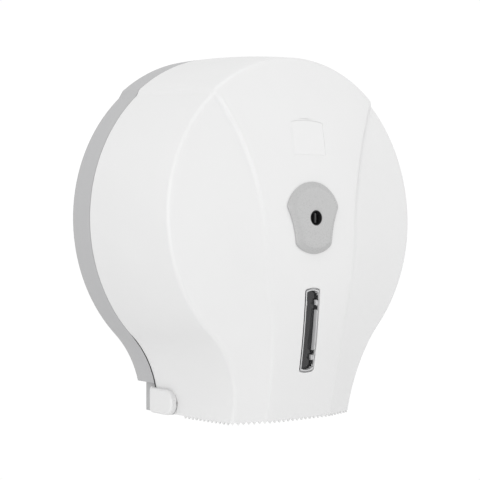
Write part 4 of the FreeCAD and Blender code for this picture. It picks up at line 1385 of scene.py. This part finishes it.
def spin_arc(bm, vert, through, end, steps):
    """Spins a vertex along the arc through two more places and gives its last vertex."""
    ax, az = vert.co.x, vert.co.z
    bx, bz = through[0] * MM, through[1] * MM
    cx, cz = end[0] * MM, end[1] * MM
    area = 2 * (ax * (bz - cz) + bx * (cz - az) + cx * (az - bz))
    a2, b2, c2 = ax * ax + az * az, bx * bx + bz * bz, cx * cx + cz * cz
    ux = (a2 * (bz - cz) + b2 * (cz - az) + c2 * (az - bz)) / area
    uz = (a2 * (cx - bx) + b2 * (ax - cx) + c2 * (bx - ax)) / area
    start = math.atan2(az - uz, ax - ux)
    turn = (math.atan2(cz - uz, cx - ux) - start) % (2 * math.pi)
    passing = (math.atan2(bz - uz, bx - ux) - start) % (2 * math.pi)
    if passing > turn:
        turn -= 2 * math.pi
    made = bmesh.ops.spin(
        bm,
        geom=[vert],
        cent=(ux, vert.co.y, uz),
        axis=(0, -1, 0),
        angle=turn,
        steps=steps,
        use_duplicate=False,
    )
    return only_verts(made["geom_last"])[0]


def shield_loop(bm, inset, height):
    """The plate's outline moved in by the inset, with soft corners, as a ring of edges."""
    shoulder, shoulder_z = SHIELD_SHOULDER[0] - inset, SHIELD_SHOULDER[1] - inset / 2
    foot, foot_z = SHIELD_FOOT[0] - inset, SHIELD_FOOT[1] + inset / 2
    waist, waist_z = (shoulder + foot) / 2 - SHIELD_WAIST, (shoulder_z + foot_z) / 2
    known = set(bm.verts)
    last = bm.verts.new(point(-shoulder, shoulder_z, height))
    for through, end, steps in (
        ((0, SHIELD_TOP - inset), (shoulder, shoulder_z), TOP_STEPS),
        ((waist, waist_z), (foot, foot_z), SIDE_STEPS),
        ((0, SHIELD_BOTTOM + inset), (-foot, foot_z), FOOT_STEPS),
        ((-waist, waist_z), (-shoulder, shoulder_z), SIDE_STEPS),
    ):
        last = spin_arc(bm, last, through, end, steps)
    fresh = [vert for vert in bm.verts if vert not in known]
    bmesh.ops.remove_doubles(bm, verts=fresh, dist=SKIN_JOIN * MM)
    fresh = [vert for vert in fresh if vert.is_valid]
    corners = [
        point(side * x, z, height)
        for x, z in ((shoulder, shoulder_z), (foot, foot_z))
        for side in (-1, 1)
    ]
    reach = (SOFT_REACH + SOFT_GROWTH * inset) * MM
    near = [vert for vert in fresh if min((vert.co - corner).length for corner in corners) < reach]
    for _ in range(SOFT_PASSES + round(inset)):
        bmesh.ops.smooth_vert(
            bm, verts=near, factor=0.5, use_axis_x=True, use_axis_y=True, use_axis_z=True
        )
    return each_once(edge for vert in fresh for edge in vert.link_edges)


def circle_loop(bm, radius, height):
    """A ring of edges about the roll axis at a height over the cover."""
    made = bmesh.ops.create_circle(
        bm, cap_ends=False, segments=KEYHOLE_POINTS, radius=radius * MM
    )["verts"]
    for vert in made:
        vert.co = point(vert.co.x / MM, vert.co.y / MM, height)
    return each_once(edge for vert in made for edge in vert.link_edges)


def shield_mesh(fittings):
    """Lock plate over a flat cover: side wall, soft bevel, crown and keyhole."""
    bm = bmesh.new()
    rise = fittings.shield_rise / MM
    bevel = fittings.shield_bevel / MM
    hole = fittings.keyhole_radius / MM
    loops = [shield_loop(bm, across * bevel, up * rise) for across, up in SHIELD_SECTION]
    crown = len(loops) - 1
    loops += [circle_loop(bm, hole + grow, rise - drop) for grow, drop in KEYHOLE_EDGE]
    loops.append(circle_loop(bm, hole, 0.0))
    for index, (one, other) in enumerate(zip(loops, loops[1:] + loops[:1])):
        known = set(bm.edges)
        bmesh.ops.bridge_loops(bm, edges=one + other)
        if index == crown:
            between = [edge for edge in bm.edges if edge not in known]
            bmesh.ops.subdivide_edges(bm, edges=between, cuts=CROWN_CUTS)
    return bm


class DISPENSER_OT_lock_plate(bpy.types.Operator):
    """Shield-shaped lock plate with a soft bevel, laid on the domed front, and its two stubs"""

    bl_idname = "dispenser.lock_plate"
    bl_label = "Lock plate"

    def execute(self, context):
        scene = context.scene
        shape = CoverShape(scene.dispenser_cover)
        bm = shield_mesh(scene.dispenser_fittings)
        for vert in bm.verts:
            vert.co.y -= shape.dome_depth(vert.co.x / MM, vert.co.z / MM) * MM
        bmesh.ops.recalc_face_normals(bm, faces=bm.faces)
        mark_sharp(bm, SKIN_SHARP)
        for height in (STUB_HEIGHT, -STUB_HEIGHT):
            front = shape.dome_depth(0, height)
            join_into(bm, stub_tube(front - shape.wall, front + STUB_SINK, height))
        material = moulded(scene.dispenser_colours, "lock_plate")
        finish_piece(bm, "lock_shield", "cover", (material,), ("lock_plate",))
        return {"FINISHED"}


def tube(inner, outer, back, front, segments):
    """A plain tube about the roll axis, from its radii and depths."""
    return spun_ring(((inner, back), (outer, back), (outer, front), (inner, front)), segments)


def stub_tube(back, front, height):
    """Short tube behind the lock plate that takes a screw."""
    bm = tube(STUB_BORE, STUB_RADIUS, back, front, STUB_STEPS)
    bmesh.ops.translate(bm, verts=bm.verts, vec=point(0, height, 0))
    return bm


class DISPENSER_OT_lock(bpy.types.Operator):
    """Black lock housing with its mouth in the keyhole, and the plug with its key bar"""

    bl_idname = "dispenser.lock"
    bl_label = "Lock"

    def execute(self, context):
        black = moulded(context.scene.dispenser_colours, "lock")
        mouth = tube(MOUTH_INNER, MOUTH_OUTER, MOUTH_BACK, MOUTH_FRONT, MOUTH_STEPS)
        bar = rounded_block(
            point(-BAR_HALF_WIDTH, -BAR_HALF_HEIGHT, BAR_BACK),
            point(BAR_HALF_WIDTH, BAR_HALF_HEIGHT, BAR_FRONT),
            ((every_edge, *BAR_ROUND),),
        )
        merged_copy("lock_housing", black, extra=mouth)
        merged_copy("lock_plug", black, extra=bar)
        return {"FINISHED"}


class DISPENSER_OT_back_plate(bpy.types.Operator):
    """Grey back plate with soft ramps at the cap's steps, and the rubber buffers on its rim"""

    bl_idname = "dispenser.back_plate"
    bl_label = "Back plate"

    def execute(self, context):
        scene = context.scene
        colours = scene.dispenser_colours
        bm = merged_mesh("back_plate")
        soften_steps(bm, scene.dispenser_cover)
        mark_sharp(bm, COPY_SHARP)
        material = moulded(colours, "back_plate")
        finish_piece(bm, "back_plate_finished", "unit", (material,), ("back_plate",))
        merged_copy("rim_buffers", moulded(colours, "rubber"))
        return {"FINISHED"}


def soften_steps(bm, size):
    """Turns the corners of each step in the side wall apart, so that it runs as a ramp."""
    radius = size.plate_radius / MM
    step = size.cap_step / MM
    wall = size.wall / MM
    lean = 1.0 / (2 * size.side_crown_radius / MM)
    turn = SIDE_RAMP / radius
    for vert in bm.verts:
        x, depth, z = vert.co.x / MM, -vert.co.y / MM, vert.co.z / MM
        out, angle = math.hypot(x, z), math.atan2(abs(x), z)
        away = out + depth**2 * lean
        if z < 0 or away < radius - wall - WALL_SLACK:
            continue
        if abs(angle - size.cap_half_angle) > math.radians(STEP_SLACK):
            continue
        outside = away > radius - FACE_SLACK
        raised = away > (radius if outside else radius - wall) + step / 2
        turned = angle + (-turn if raised else turn)
        vert.co = point(math.copysign(out * math.sin(turned), x), out * math.cos(turned), depth)


class DISPENSER_OT_roll_holder(bpy.types.Operator):
    """Fixed post, thrust washer and turning hub that carry the paper roll"""

    bl_idname = "dispenser.roll_holder"
    bl_label = "Roll holder"

    def execute(self, context):
        colours = context.scene.dispenser_colours
        grey = moulded(colours, "hub")
        merged_copy("spindle_post", grey)
        merged_copy("thrust_washer", moulded(colours, "washer"), WASHER_ROUND)
        merged_copy("roll_hub", grey, HUB_ROUND)
        return {"FINISHED"}


class DISPENSER_OT_fasteners(bpy.types.Operator):
    """Steel pins, screws, strike plate, cam and clips"""

    bl_idname = "dispenser.fasteners"
    bl_label = "Steel parts"

    def execute(self, context):
        steel = zinc_steel(context.scene.dispenser_colours.steel)
        for node, bevel in STEEL_PIECES:
            piece = merged_copy(node, steel, bevel)
            if node == "stop_washer":
                for vert in piece.data.vertices:
                    vert.co.y += WASHER_PLAY * MM
        return {"FINISHED"}


OPERATORS = (
    DISPENSER_OT_stage,
    DISPENSER_OT_cover,
    DISPENSER_OT_window,
    DISPENSER_OT_badge,
    DISPENSER_OT_lock_plate,
    DISPENSER_OT_lock,
    DISPENSER_OT_back_plate,
    DISPENSER_OT_roll_holder,
    DISPENSER_OT_fasteners,
)
GROUPS = {
    "dispenser_cover": DispenserCoverSizes,
    "dispenser_fittings": DispenserFittingSizes,
    "dispenser_colours": DispenserColours,
    "dispenser_stage": DispenserStageSizes,
}


class DISPENSER_PT_panel(bpy.types.Panel):
    """Sizes and colours, and a button for each operator"""

    bl_idname = "DISPENSER_PT_panel"
    bl_label = "Dispenser"
    bl_space_type = "VIEW_3D"
    bl_region_type = "UI"
    bl_category = "Dispenser"

    def draw(self, context):
        layout = self.layout
        for key in GROUPS:
            group = getattr(context.scene, key)
            box = layout.box()
            for name in group.__annotations__:
                box.prop(group, name)
        for operator in OPERATORS:
            layout.operator(operator.bl_idname)


CLASSES = tuple(GROUPS.values()) + OPERATORS + (DISPENSER_PT_panel,)


def register():
    """Registers the classes and hangs the sizes and colours on the scene."""
    for item in CLASSES:
        bpy.utils.register_class(item)
    for key, group in GROUPS.items():
        setattr(bpy.types.Scene, key, bpy.props.PointerProperty(type=group))


def unregister():
    """Takes the sizes, the colours and the classes away again."""
    for key in GROUPS:
        delattr(bpy.types.Scene, key)
    for item in reversed(CLASSES):
        bpy.utils.unregister_class(item)


def main():
    """Builds the stage and every piece."""
    register()
    bpy.ops.dispenser.stage()
    bpy.ops.dispenser.cover()
    bpy.ops.dispenser.window()
    bpy.ops.dispenser.badge()
    bpy.ops.dispenser.lock_plate()
    bpy.ops.dispenser.lock()
    bpy.ops.dispenser.back_plate()
    bpy.ops.dispenser.roll_holder()
    bpy.ops.dispenser.fasteners()


if __name__ == "__main__":
    main()
